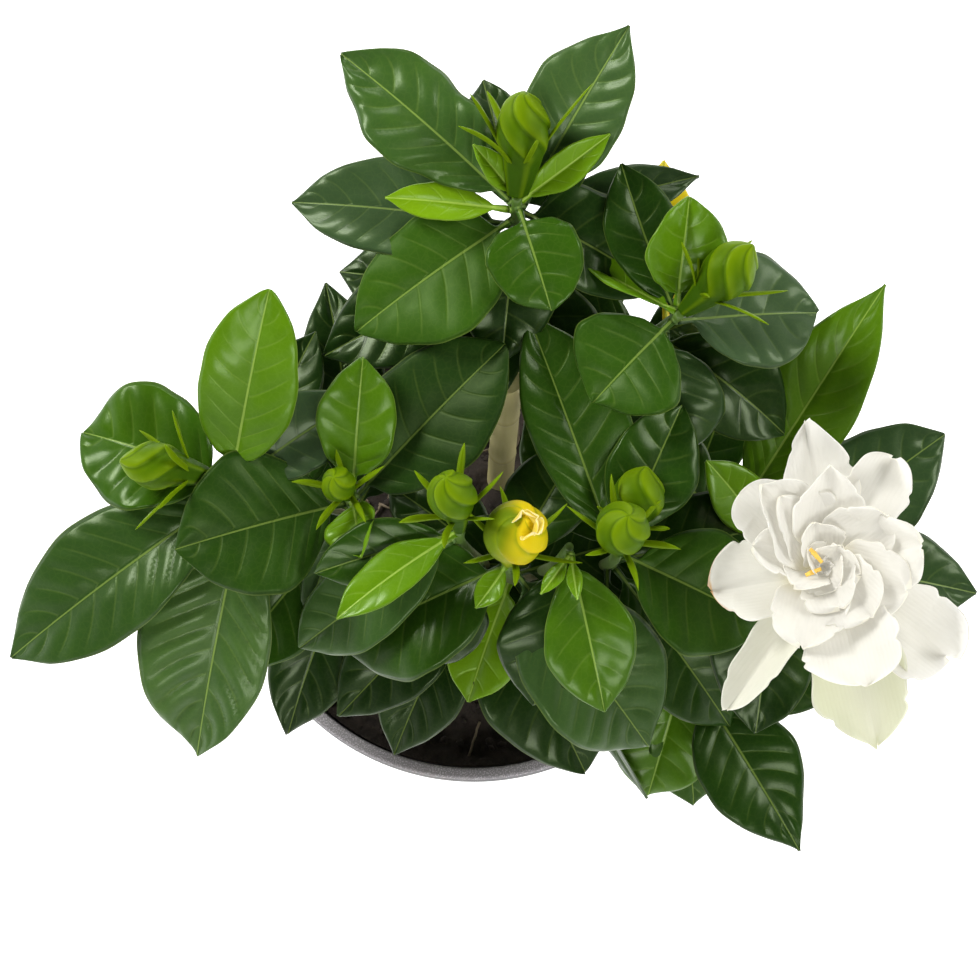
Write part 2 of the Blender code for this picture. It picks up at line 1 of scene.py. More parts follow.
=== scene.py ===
"""Potted gardenia: glossy leaves, rolled buds and one open double flower, in a charcoal nursery pot.

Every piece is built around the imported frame: a leaf's midrib, width and tilt, a bud's axis and the
pot's sizes are measured on the frame's own solids, and only the fine form is added here.
"""
import math
import random

import bmesh
import bpy
import numpy as np
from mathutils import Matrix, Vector


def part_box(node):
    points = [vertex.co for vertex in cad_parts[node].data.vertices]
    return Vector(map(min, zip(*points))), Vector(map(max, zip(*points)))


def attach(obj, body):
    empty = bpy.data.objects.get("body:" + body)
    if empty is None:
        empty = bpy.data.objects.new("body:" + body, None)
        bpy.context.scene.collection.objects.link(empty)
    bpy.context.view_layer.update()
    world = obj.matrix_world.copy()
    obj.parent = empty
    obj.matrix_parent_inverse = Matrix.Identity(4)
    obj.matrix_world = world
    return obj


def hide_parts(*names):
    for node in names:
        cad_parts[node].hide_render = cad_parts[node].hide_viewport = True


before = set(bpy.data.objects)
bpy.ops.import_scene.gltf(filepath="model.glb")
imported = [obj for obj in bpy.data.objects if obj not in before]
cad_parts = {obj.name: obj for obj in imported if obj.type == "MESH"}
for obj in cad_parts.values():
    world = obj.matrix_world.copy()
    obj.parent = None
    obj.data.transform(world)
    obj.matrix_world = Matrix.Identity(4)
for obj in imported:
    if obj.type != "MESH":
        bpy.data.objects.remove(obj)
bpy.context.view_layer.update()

MM = 0.001
BODY = "root"
CANE_RADIUS = 3.6 * MM
CANE_NODE_EVERY = 38 * MM
SHARP_FROM = math.radians(38)       # plastic edges steeper than this stay crisp


# ================================================================ shader writing

def operator(operation, swapped=False):
    """A method of Value that writes one maths node."""
    def write(self, other=None):
        first, second = (other, self) if swapped else (self, other)
        values = {0: first} if second is None else {0: first, 1: second}
        return self.shader.node("ShaderNodeMath", {"operation": operation}, values)[0]
    return write


class Value:
    """A shader socket that Python's arithmetic works on."""

    def __init__(self, shader, socket):
        self.shader = shader
        self.socket = socket

    __add__ = operator("ADD")
    __radd__ = operator("ADD", swapped=True)
    __sub__ = operator("SUBTRACT")
    __rsub__ = operator("SUBTRACT", swapped=True)
    __mul__ = operator("MULTIPLY")
    __rmul__ = operator("MULTIPLY", swapped=True)
    __truediv__ = operator("DIVIDE")
    __abs__ = operator("ABSOLUTE")
    sine = operator("SINE")

    def nearest_whole(self):
        """The distance to the nearest whole number."""
        return operator("PINGPONG")(self, 0.5)


class Outputs:
    """The outputs of a node, by number or by name."""

    def __init__(self, shader, node):
        self.shader = shader
        self.node = node

    def __getitem__(self, key):
        return Value(self.shader, self.node.outputs[key])


class Shader:
    """One material's node tree."""

    def __init__(self, name):
        self.material = bpy.data.materials.new(name)
        self.material.use_nodes = True
        self.tree = self.material.node_tree
        self.surface = self.tree.nodes["Principled BSDF"]

    def node(self, kind, settings=None, values=None):
        """Adds a node: its settings come first, then a number, colour or link for each socket."""
        made = self.tree.nodes.new(kind)
        for key, setting in (settings or {}).items():
            if key == "stops":
                self._ramp(made.color_ramp, setting)
            else:
                setattr(made, key, setting)
        for key, value in (values or {}).items():
            self._feed(made.inputs[key], value)
        return Outputs(self, made)

    def _feed(self, socket, value):
        if isinstance(value, Value):
            self.tree.links.new(value.socket, socket)
        else:
            socket.default_value = (*value, 1.0) if self._is_colour(socket, value) else value

    @staticmethod
    def _is_colour(socket, value):
        return socket.type == "RGBA" and len(value) == 3

    @staticmethod
    def _ramp(ramp, stops):
        while len(ramp.elements) < len(stops):
            ramp.elements.new(0.5)
        for element, (place, colour) in zip(ramp.elements, stops):
            element.position = place
            element.color = (*colour, 1.0)

    def set(self, **values):
        """Feeds the surface's sockets; an underscore in a name stands for a space."""
        for key, value in values.items():
            self._feed(self.surface.inputs[key.replace("_", " ")], value)

    def attribute(self, name):
        return self.node("ShaderNodeAttribute", {"attribute_name": name})["Fac"]

    def place(self):
        return self.node("ShaderNodeTexCoord")["Object"]

    def noise(self, scale, detail=3.0, vector=None, roughness=0.5):
        values = {"Vector": vector or self.place(), "Scale": scale, "Detail": detail, "Roughness": roughness}
        return self.node("ShaderNodeTexNoise", None, values)[0]

    def cells(self, scale, feature="DISTANCE_TO_EDGE", vector=None):
        values = {"Vector": vector or self.place(), "Scale": scale}
        return self.node("ShaderNodeTexVoronoi", {"feature": feature}, values)["Distance"]

    def mix(self, amount, first, second):
        """A colour between first and second."""
        made = self.node("ShaderNodeMix", {"data_type": "RGBA"}, {0: amount})
        self._feed(made.node.inputs[6], first)
        self._feed(made.node.inputs[7], second)
        return Value(self, made.node.outputs[2])

    def between(self, value, low, high, start=0.0, end=1.0):
        """Eases from start to end as value goes from low to high."""
        values = {"Value": value, "From Min": low, "From Max": high, "To Min": start, "To Max": end}
        return self.node("ShaderNodeMapRange", {"interpolation_type": "SMOOTHSTEP"}, values)[0]

    def bump(self, height, distance, strength=1.0):
        values = {"Height": height, "Distance": distance, "Strength": strength}
        self.set(Normal=self.node("ShaderNodeBump", None, values)["Normal"])


# ================================================================ materials

LEAF_TONES = (
    (0.00, (0.66, 0.50, 0.008)),    # yellowing
    (0.10, (0.34, 0.46, 0.006)),
    (0.25, (0.165, 0.310, 0.004)),  # newest, lime
    (0.45, (0.092, 0.205, 0.003)),
    (0.70, (0.028, 0.082, 0.003)),
    (0.90, (0.011, 0.036, 0.003)),
    (1.00, (0.007, 0.023, 0.003)),  # oldest, shaded
)


def leaf_material():
    """Waxy leaf: thin pale midrib, faint side veins, mottled green, a paler matt underside; a greyer painted
    sheen on leaves that face the light, and a pale margin line painted as the highlight along the edge.
    """
    shader = Shader("leaf_green")
    vein = shader.attribute("vein")
    across = abs(shader.attribute("across"))
    edge = shader.attribute("edge")
    under = shader.attribute("under")
    tone = shader.attribute("tone")
    grey = shader.attribute("grey")
    matt = shader.attribute("matt")
    rib_width = shader.attribute("rib")
    mottle = shader.noise(160.0, 4.0)
    patch = shader.noise(42.0, 2.0)
    side_vein = shader.between(vein.nearest_whole(), 0.0, 0.085, 1.0, 0.0)
    inside = shader.between(edge, 0.10, 0.40)
    midrib = shader.between(across / rib_width, 0.45, 1.0, 1.0, 0.0)
    net = shader.between(shader.cells(560.0), 0.0, 0.12, 1.0, 0.0)
    age = tone + (mottle - 0.5) * 0.10 + (patch - 0.5) * 0.16
    body = shader.node("ShaderNodeValToRGB", {"stops": LEAF_TONES}, {"Fac": age})["Color"]
    # painted sheen: a grey-green is mixed into the colour of leaves that face the light, standing in for
    # their broad whitish reflection
    body = shader.mix(grey * 0.5, body, (0.060, 0.092, 0.052))
    rib = shader.mix(shader.between(tone, 0.2, 1.0, 0.55, 0.22), body, (0.50, 0.68, 0.13))
    veined = shader.mix(side_vein * inside * 0.15, body, rib)
    netted = shader.mix(net * 0.04, veined, rib)
    # painted highlight: a pale line along the margin, for the light that leaf edges catch
    margin = shader.mix(shader.between(edge, 0.0, 0.030, 0.6, 0.0), netted, rib)
    ribbed = shader.mix(midrib * 0.85, margin, rib)
    pale = shader.mix(0.40, ribbed, (0.15, 0.24, 0.075))
    rough = 0.31 + under * 0.25 + (mottle - 0.5) * 0.14 + midrib * 0.12 + grey * 0.06 + matt * 0.22
    shader.set(Base_Color=shader.mix(under, ribbed, pale), Roughness=rough, Coat_Roughness=0.20,
               Coat_Weight=shader.between(under + matt, 0.0, 0.6, 0.13, 0.0), Specular_IOR_Level=0.22,
               Specular_Tint=(0.75, 1.0, 0.45))
    relief = mottle * 0.40 + (1 - net) * 0.06 - side_vein * inside * (1 - under * 1.8) * 0.7 + midrib * 0.4
    shader.bump(relief, 0.20 * MM, 0.5)
    return shader.material


def petal_material(name, light, shade, claw_tint):
    """Soft matt petal: faint lengthwise veins, tinted towards the claw, glowing with its own colour as
    painted light that lifts its shade.
    """
    shader = Shader(name)
    along = shader.attribute("along")
    across = shader.attribute("across")
    edge = shader.attribute("edge")
    tone = shader.attribute("tone")
    cloud = shader.noise(60.0, 3.0)
    lines = abs((across * 3.1 + along * 2.0 + cloud * 1.2).sine())
    white = shader.mix(cloud * 0.6, light, shade)
    claw = shader.between(along, 0.04, 0.42, 1.0, 0.0)
    tinted = shader.mix(claw * 0.75, white, claw_tint)
    greened = shader.mix(tone * (1 - edge * 0.4) * 0.9, tinted, (0.37, 0.385, 0.21))
    tip_blush = shader.mix(shader.between(edge, 0.0, 0.05, 0.35, 0.0), greened, (0.78, 0.74, 0.55))
    rust = shader.attribute("rust") * shader.between(edge + (cloud - 0.5) * 0.25, 0.0, 0.10, 1.0, 0.0)
    rust = rust * shader.between(along, 0.70, 0.98)
    wear_and_painted_light = shader.mix(rust, tip_blush, (0.42, 0.22, 0.06))
    # painted light: the petal glows with its own colour, so that its folds and shaded side stay pale
    shader.set(Base_Color=wear_and_painted_light, Roughness=0.50 + cloud * 0.12, Subsurface_Weight=0.4,
               Subsurface_Radius=(1.0, 1.0, 0.95), Subsurface_Scale=3 * MM, Specular_IOR_Level=0.2,
               Emission_Color=wear_and_painted_light, Emission_Strength=0.36)
    shader.bump(lines * 0.5 + cloud * 0.6, 0.16 * MM, 0.5)
    return shader.material


def bud_material(name, low, high, tip, flank=None):
    """Rolled bud: fresh green, paler on the ridges, partly as a painted highlight, warmer towards the tip,
    darker in the creases as painted shade, satin.
    """
    shader = Shader(name)
    along = shader.attribute("along")
    ridge = shader.attribute("ridge")
    fleck = shader.noise(420.0, 3.0)
    cloud = shader.noise(90.0, 2.0)
    body = shader.mix(shader.between(along + (cloud - 0.5) * 0.35, 0.25, 0.9), low, high)
    # paler along the rolled edges: partly the petals' own paler edges, partly a painted highlight where the
    # rolls catch light
    ridges_paled_and_highlit = shader.mix(shader.between(ridge, 0.35, 0.85) * 0.6, body, tip)
    tipped = shader.mix(shader.between(along, 0.72, 1.0) * 0.5, ridges_paled_and_highlit, tip)
    if flank:
        side = shader.attribute("side") + (cloud - 0.5) * 0.8 - along * 0.5
        tipped = shader.mix(shader.between(side, -0.55, 0.55), tipped, flank)
    # painted shade: darker where the ridge measure is low, in the creases between rolled petals and between
    # the calyx's ribs
    painted_crease_shade = shader.mix(shader.between(ridge, 0.0, 0.28, 0.6, 0.0), tipped, low)
    shader.set(Base_Color=painted_crease_shade, Roughness=0.40 + fleck * 0.14, Specular_IOR_Level=0.20,
               Specular_Tint=(0.7, 1.0, 0.2), Subsurface_Weight=0.1,
               Subsurface_Radius=(0.6, 0.9, 0.2), Subsurface_Scale=2 * MM)
    shader.bump(fleck * 1.2 + ridge * 0.3, 0.22 * MM, 0.6)
    return shader.material


def bark_material():
    """Shoots green at the top, brown and corky towards the soil, with fine lengthwise cracks."""
    shader = Shader("stem_bark")
    place = shader.place()
    height = shader.node("ShaderNodeSeparateXYZ", None, {0: place})["Z"]
    stretch = shader.node("ShaderNodeMapping", None, {"Vector": place, "Scale": (1.0, 1.0, 0.18)})[0]
    crack = shader.noise(900.0, 5.0, stretch)
    patch = shader.noise(120.0, 3.0)
    aged = shader.between(height + (patch - 0.5) * 0.05, 0.135, 0.195, 1.0, 0.0)
    green = shader.mix(patch, (0.055, 0.125, 0.010), (0.095, 0.165, 0.020))
    brown = shader.mix(crack, (0.085, 0.060, 0.035), (0.24, 0.19, 0.12))
    shader.set(Base_Color=shader.mix(aged, green, brown), Roughness=0.55 + aged * 0.25)
    shader.bump(crack * (0.3 + aged), 0.35 * MM, 0.8)
    return shader.material


def cane_material():
    """Bamboo: straw coloured, with fine fibres along it and darker rings at the nodes."""
    shader = Shader("bamboo")
    place = shader.place()
    stretch = shader.node("ShaderNodeMapping", None, {"Vector": place, "Scale": (1.0, 1.0, 0.03)})[0]
    fibre = shader.noise(1500.0, 4.0, stretch)
    stain = shader.noise(55.0, 3.0)
    ring = shader.attribute("ring")
    straw = shader.mix(stain, (0.56, 0.49, 0.20), (0.42, 0.37, 0.12))
    fibred = shader.mix(fibre * 0.45, straw, (0.70, 0.63, 0.42))
    shader.set(Base_Color=shader.mix(ring * 0.35, fibred, (0.24, 0.18, 0.07)),
               Roughness=0.42 + fibre * 0.2)
    shader.bump(fibre, 0.12 * MM, 0.6)
    return shader.material


def pot_material():
    """Charcoal plastic with fine pale speckles and a matt, orange-peel skin, painted paler on the rim's top
    for the light that falls on it, with stronger speckles there.
    """
    shader = Shader("pot_plastic")
    height = shader.node("ShaderNodeSeparateXYZ", None, {0: shader.place()})["Z"]
    rim = shader.between(height, POT_HIGH[2] - 1.6 * MM, POT_HIGH[2] - 0.6 * MM)
    speck = shader.noise(2600.0, 2.0)
    peel = shader.noise(700.0, 3.0)
    cloud = shader.noise(40.0, 3.0)
    dark = shader.mix(cloud, (0.022, 0.021, 0.022), (0.034, 0.032, 0.034))
    # painted light: the top of the rim is made a paler grey, and its speckles stronger, as where light falls
    # on it
    wear_and_painted_light = shader.mix(rim, dark, (0.22, 0.205, 0.212))
    specked = shader.mix(shader.between(speck, 0.50, 0.64) * (0.12 + rim * 0.73), wear_and_painted_light, (0.52, 0.49, 0.51))
    dust = shader.between(shader.noise(18.0, 4.0), 0.52, 0.75)
    dusted = shader.mix(dust * 0.18, specked, (0.20, 0.17, 0.13))
    shader.set(Base_Color=dusted, Roughness=0.50 + peel * 0.16, IOR=1.5)
    shader.bump(peel * 0.7 + speck * 0.5, 0.10 * MM, 0.6)
    return shader.material


def soil_material():
    """Damp peat: near black with brown fibres and a few pale grains."""
    shader = Shader("potting_mix")
    crumb = shader.noise(450.0, 6.0)
    grain = shader.cells(900.0, "F1")
    brown = shader.mix(crumb, (0.004, 0.003, 0.002), (0.034, 0.022, 0.014))
    grained = shader.mix(shader.between(grain, 0.0, 0.10, 0.30, 0.0), brown, (0.13, 0.10, 0.065))
    shader.set(Base_Color=grained, Roughness=0.93)
    shader.bump(crumb, 1.2 * MM, 0.9)
    return shader.material


def stamen_material():
    shader = Shader("stamen_gold")
    grain = shader.noise(1600.0, 3.0)
    gold = shader.mix(grain, (0.80, 0.42, 0.04), (0.92, 0.66, 0.14))
    shader.set(Base_Color=gold, Roughness=0.6 + grain * 0.2)
    shader.bump(grain, 0.15 * MM)
    return shader.material


def floor_material():
    shader = Shader("studio_floor")
    shader.set(Base_Color=(0.90, 0.90, 0.90), Roughness=0.95,
               Emission_Color=(1.0, 1.0, 1.0), Emission_Strength=0.62)
    return shader.material


# ================================================================ making meshes

def smooth_step(value, low, high):
    share = np.clip((value - low) / (high - low), 0.0, 1.0)
    return share * share * (3 - 2 * share)


def read_curve(stations, values, at):
    """Reads a smooth curve through values, given at stations, at other stations."""
    slopes = np.gradient(values, stations, axis=0)
    index = np.clip(np.searchsorted(stations, at, side="right") - 1, 0, len(stations) - 2)
    span = (stations[index + 1] - stations[index])[:, None]
    t = (at - stations[index])[:, None] / span
    return ((2 * t ** 3 - 3 * t ** 2 + 1) * values[index] + (t ** 3 - 2 * t ** 2 + t) * span * slopes[index]
            + (3 * t ** 2 - 2 * t ** 3) * values[index + 1] + (t ** 3 - t ** 2) * span * slopes[index + 1])


def unit(vectors):
    return vectors / np.maximum(np.linalg.norm(vectors, axis=-1, keepdims=True), 1e-12)


def ring_faces(rows, around):
    """Quads between rows of closed rings, then a cap of one face at each end."""
    faces = []
    for row in range(rows - 1):
        for i in range(around):
            j = (i + 1) % around
            faces.append((row * around + i, row * around + j, (row + 1) * around + j, (row + 1) * around + i))
    faces.append(tuple(range(around))[::-1])
    faces.append(tuple(range((rows - 1) * around, rows * around)))
    return faces


def linked(name, data):
    """Puts a mesh, a light or a camera in the scene as an object."""
    made = bpy.data.objects.new(name, data)
    bpy.context.scene.collection.objects.link(made)
    return made


def fixed(piece):
    """Turns a piece and its modifiers into one plain mesh."""
    fine = bpy.data.meshes.new_from_object(piece.evaluated_get(bpy.context.evaluated_depsgraph_get()))
    piece.modifiers.clear()
    piece.data = fine
    return fine


def coated(fine, material):
    """Gives a plain mesh its one material and smooth shading."""
    fine.materials.clear()
    fine.materials.append(material)
    fine.shade_smooth()


def full_turn(count):
    """Angles evenly spaced round a circle."""
    return np.linspace(0, 2 * math.pi, count, endpoint=False)


def round_about(middle, side, up, angle, radius):
    """Rings of points about a middle line, at the given angles and radii."""
    return middle + (side * np.cos(angle)[..., None] + up * np.sin(angle)[..., None]) * radius[..., None]


def blade_section(spans, bunching=1.0):
    """Points across a blade's top and back along its underside, and which face each is on: 1, 0 or -1."""
    across = np.linspace(1, -1, 2 * spans + 1)
    across = np.sign(across) * abs(across) ** bunching
    v = np.concatenate([across, across[1:-1][::-1]])
    face = np.concatenate([np.ones(len(across)), -np.ones(len(across) - 2)])
    face[0] = face[len(across) - 1] = 0.0
    return across, v, face


class Shape:
    """Points, faces and per-point numbers that grow piece by piece and end as one mesh object."""

    def __init__(self):
        self.points = []
        self.faces = []
        self.notes = {}
        self.count = 0

    def add(self, points, faces, **notes):
        grid = points.shape[:-1]
        points = points.reshape(-1, 3)
        self.points.append(points)
        self.faces += [tuple(corner + self.count for corner in face) for face in faces]
        for key, values in notes.items():
            values = np.broadcast_to(np.asarray(values, dtype=float), grid).reshape(-1)
            self.notes.setdefault(key, []).append(values)
        self.count += len(points)

    def make(self, name, material):
        mesh = bpy.data.meshes.new(name)
        mesh.from_pydata(np.concatenate(self.points).tolist(), [], self.faces)
        for key, parts in self.notes.items():
            layer = mesh.attributes.new(key, "FLOAT", "POINT")
            layer.data.foreach_set("value", np.concatenate(parts).astype(np.float32))
        mesh.materials.append(material)
        mesh.shade_smooth()
        built = bmesh.new()
        built.from_mesh(mesh)
        bmesh.ops.recalc_face_normals(built, faces=built.faces)
        built.to_mesh(mesh)
        built.free()
        return linked(name, mesh)


def settle(piece, slot, *nodes):
    """Rides the piece on the plant's one body and hides the nodes that it stands for; its slot is not used.
    """
    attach(piece, BODY)
    if nodes:
        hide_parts(*nodes)
    return piece


# ================================================================ measuring the frame

def welded(node):
    built = bmesh.new()
    built.from_mesh(bpy.data.objects[node].data)
    bmesh.ops.remove_doubles(built, verts=built.verts, dist=1e-7)
    return built


def solid_points(node):
    built = welded(node)
    points = np.array([vert.co for vert in built.verts])
    built.free()
    return points


def rings_from(start, wanted, most):
    """Rings of points at one, two and more edges from start, while each ring has the wanted number."""
    seen = {start}
    ring = [start]
    rings = []
    while len(rings) < most:
        following = []
        for vert in ring:
            for link in vert.link_edges:
                other = link.other_vert(vert)
                if other not in seen:
                    seen.add(other)
                    following.append(other)
        if len(following) != wanted:
            break
        rings.append(np.array([vert.co for vert in following]))
        ring = following
    return rings, seen


def tip_rings(built, wanted, most):
    """The tip of a lofted solid, its rings from the tip back, and the points that are left over."""
    for vert in built.verts:
        if len(vert.link_edges) == wanted:
            rings, seen = rings_from(vert, wanted, most)
            if len(rings) == most:
                left_over = np.array([other.co for other in built.verts if other not in seen])
                return np.array(vert.co), rings, left_over
    raise ValueError("no tip found")


class Blade:
    """The spine of a leaf or petal: its midrib, which way is left along it, and its width."""

    def __init__(self, spine, left, width, stalk):
        self.spine = np.array(spine)
        self.left = unit(np.array(left))
        self.width = width
        self.stalk = stalk
        steps = np.linalg.norm(np.diff(self.spine, axis=0), axis=1)
        self.stations = np.concatenate([[0.0], np.cumsum(steps)])
        self.length = self.stations[-1]

    def read(self, distance):
        """Spine points with square left and up vectors at distances from the stalk's start."""
        spine = read_curve(self.stations, self.spine, distance)
        ahead = read_curve(self.stations, self.spine, np.minimum(distance + 0.5 * MM, self.length))
        behind = read_curve(self.stations, self.spine, np.maximum(distance - 0.5 * MM, 0.0))
        along = unit(ahead - behind)
        left = read_curve(self.stations, self.left, distance)
        left = unit(left - along * np.sum(left * along, axis=1, keepdims=True))
        return spine, left, np.cross(along, left)


STALK_RINGS = 3
BLADE_RINGS = 9
SECTION_POINTS = 8


def measured_blade(node):
    """Reads a leaf or petal back from its solid in the frame."""
    built = welded(node)
    tip, rings, stalk = tip_rings(built, SECTION_POINTS, BLADE_RINGS)
    built.free()
    rings = rings[::-1]
    away = np.linalg.norm(stalk - rings[0].mean(axis=0), axis=1)
    parts = np.array_split(stalk[np.argsort(-away)], STALK_RINGS)
    spine = [part.mean(axis=0) for part in parts]
    lefts = []
    width = 0.0
    previous = None
    for ring in rings:
        gaps = np.linalg.norm(ring[:, None] - ring[None, :], axis=2)
        a, b = np.unravel_index(gaps.argmax(), gaps.shape)
        margin, other = ring[a], ring[b]
        if previous is not None and np.dot(margin - other, previous) < 0:
            margin, other = other, margin
        previous = margin - other
        share = (ring - other) @ previous / (previous @ previous)
        middle = ring[np.argsort(abs(share - 0.5))[:2]].mean(axis=0)
        spine.append(middle)
        lefts.append(previous)
        if gaps.max() > width:
            width = gaps.max()
            bowl = 0.5 * (margin + other) - middle
            widest = len(lefts) - 1
    spine.append(tip)
    lefts = [lefts[0]] * STALK_RINGS + lefts + [lefts[-1]]
    along = spine[STALK_RINGS + widest + 1] - spine[STALK_RINGS + widest - 1]
    if np.dot(np.cross(along, lefts[STALK_RINGS + widest]), bowl) < 0:
        lefts = [-left for left in lefts]
    stalk = sum(np.linalg.norm(b - a) for a, b in zip(spine[:2], spine[1:3]))
    return Blade(spine, lefts, width, stalk)


def direction(azimuth, rise):
    turn = math.radians(azimuth)
    tilt = math.radians(rise)
    return np.array([math.cos(turn) * math.cos(tilt), math.sin(turn) * math.cos(tilt), math.sin(tilt)])


def planned_blade(start, azimuth, rise, length, width, droop, roll, stalk, sweep=0.0):
    """A leaf or petal from its own plan, for the small ones that the frame leaves out."""
    count = STALK_RINGS + BLADE_RINGS
    spine = [np.array(start)]
    lefts = []
    for i in range(count + 1):
        share = i / count
        heading = azimuth + sweep * share
        pitch = rise + droop * (0.5 - share)
        along = direction(heading, pitch)
        flat = direction(heading + 90, 0)
        up = np.cross(along, flat)
        turn = math.radians(roll)
        lefts.append(flat * math.cos(turn) + up * math.sin(turn))
        if i < count:
            spine.append(spine[-1] + along * length / count)
    return Blade(spine, lefts, width, stalk)


def frame_along(way):
    """Two unit vectors square to a direction, and to each other."""
    reference = np.array([0.0, 0.0, 1.0]) if abs(way[2]) < 0.95 else np.array([0.0, 1.0, 0.0])
    side = unit(np.cross(way, reference))
    return side, unit(np.cross(side, way))


class Axis:
    """Where a bud or the cane stands: its base, its direction, its length and its greatest radius."""

    def __init__(self, base, way, length, radius):
        self.base = base
        self.way = way
        self.length = length
        self.radius = radius
        self.side, self.up = frame_along(way)

    def at(self, share):
        return self.base + self.way * self.length * share


BUD_POINTS = 10


def measured_bud(node):
    """A bud's axis: the rings behind its tip give its direction, and its lowest point its length."""
    built = welded(node)
    tip, rings, _ = tip_rings(built, BUD_POINTS, 3)
    centres = [np.mean(ring, axis=0) for ring in rings]
    way = unit(tip - centres[-1])
    depth = [np.dot(tip - np.array(vert.co), way) for vert in built.verts]
    built.free()
    radius = max(np.linalg.norm(np.array(ring) - centre, axis=1).max()
                 for ring, centre in zip(rings, centres))
    length = max(depth)
    return Axis(tip - way * length, way, length, radius)


LINE_STEP = 2.5 * MM


def stem_line(stem, apex):
    """Points down the middle of a shoot, from its apex towards the soil, with its radius at each."""
    built = welded(stem)
    bmesh.ops.triangulate(built, faces=built.faces)
    rng = np.random.default_rng(7)
    cloud = []
    for face in built.faces:
        corners = np.array([vert.co for vert in face.verts])
        weights = rng.dirichlet((1, 1, 1), 14)
        cloud.append(weights @ corners)
    built.free()
    cloud = np.concatenate(cloud)
    place = np.array(apex)
    way = np.array([0.0, 0.0, -1.0])
    line = [place]
    while place[2] > SOIL_TOP + 2 * MM and len(line) < 80:
        target = place + way * LINE_STEP
        near = cloud[np.linalg.norm(cloud - target, axis=1) < 4.2 * MM]
        if len(near) < 4:
            break
        centre = near.mean(axis=0)
        fresh = unit(unit(centre - place) * 0.4 + way * 0.6)
        place = place + fresh * LINE_STEP
        place = place + (centre - place) * 0.3
        way = fresh
        line.append(place)
    return np.array(line)


# ================================================================ leaves

LEAF_RINGS = 84
LEAF_STALK_RINGS = 6
ROOT_IN = 1.6 * MM                  # how far a stalk reaches into its shoot
LEAF_HALF = 13                      # spans across each side of the midrib
VEIN_EVERY = 6.6 * MM               # about how far apart the side veins are


def leaf_outline(u, point, widest):
    """Half width along the blade, one at its widest, with a short drawn-out tip."""
    bow = np.sin(math.pi * np.clip(u, 0, 1) ** (math.log(0.5) / math.log(widest)))
    return np.maximum(bow, 0) ** point * (1 - 0.22 * smooth_step(u, 0.84, 1.0))


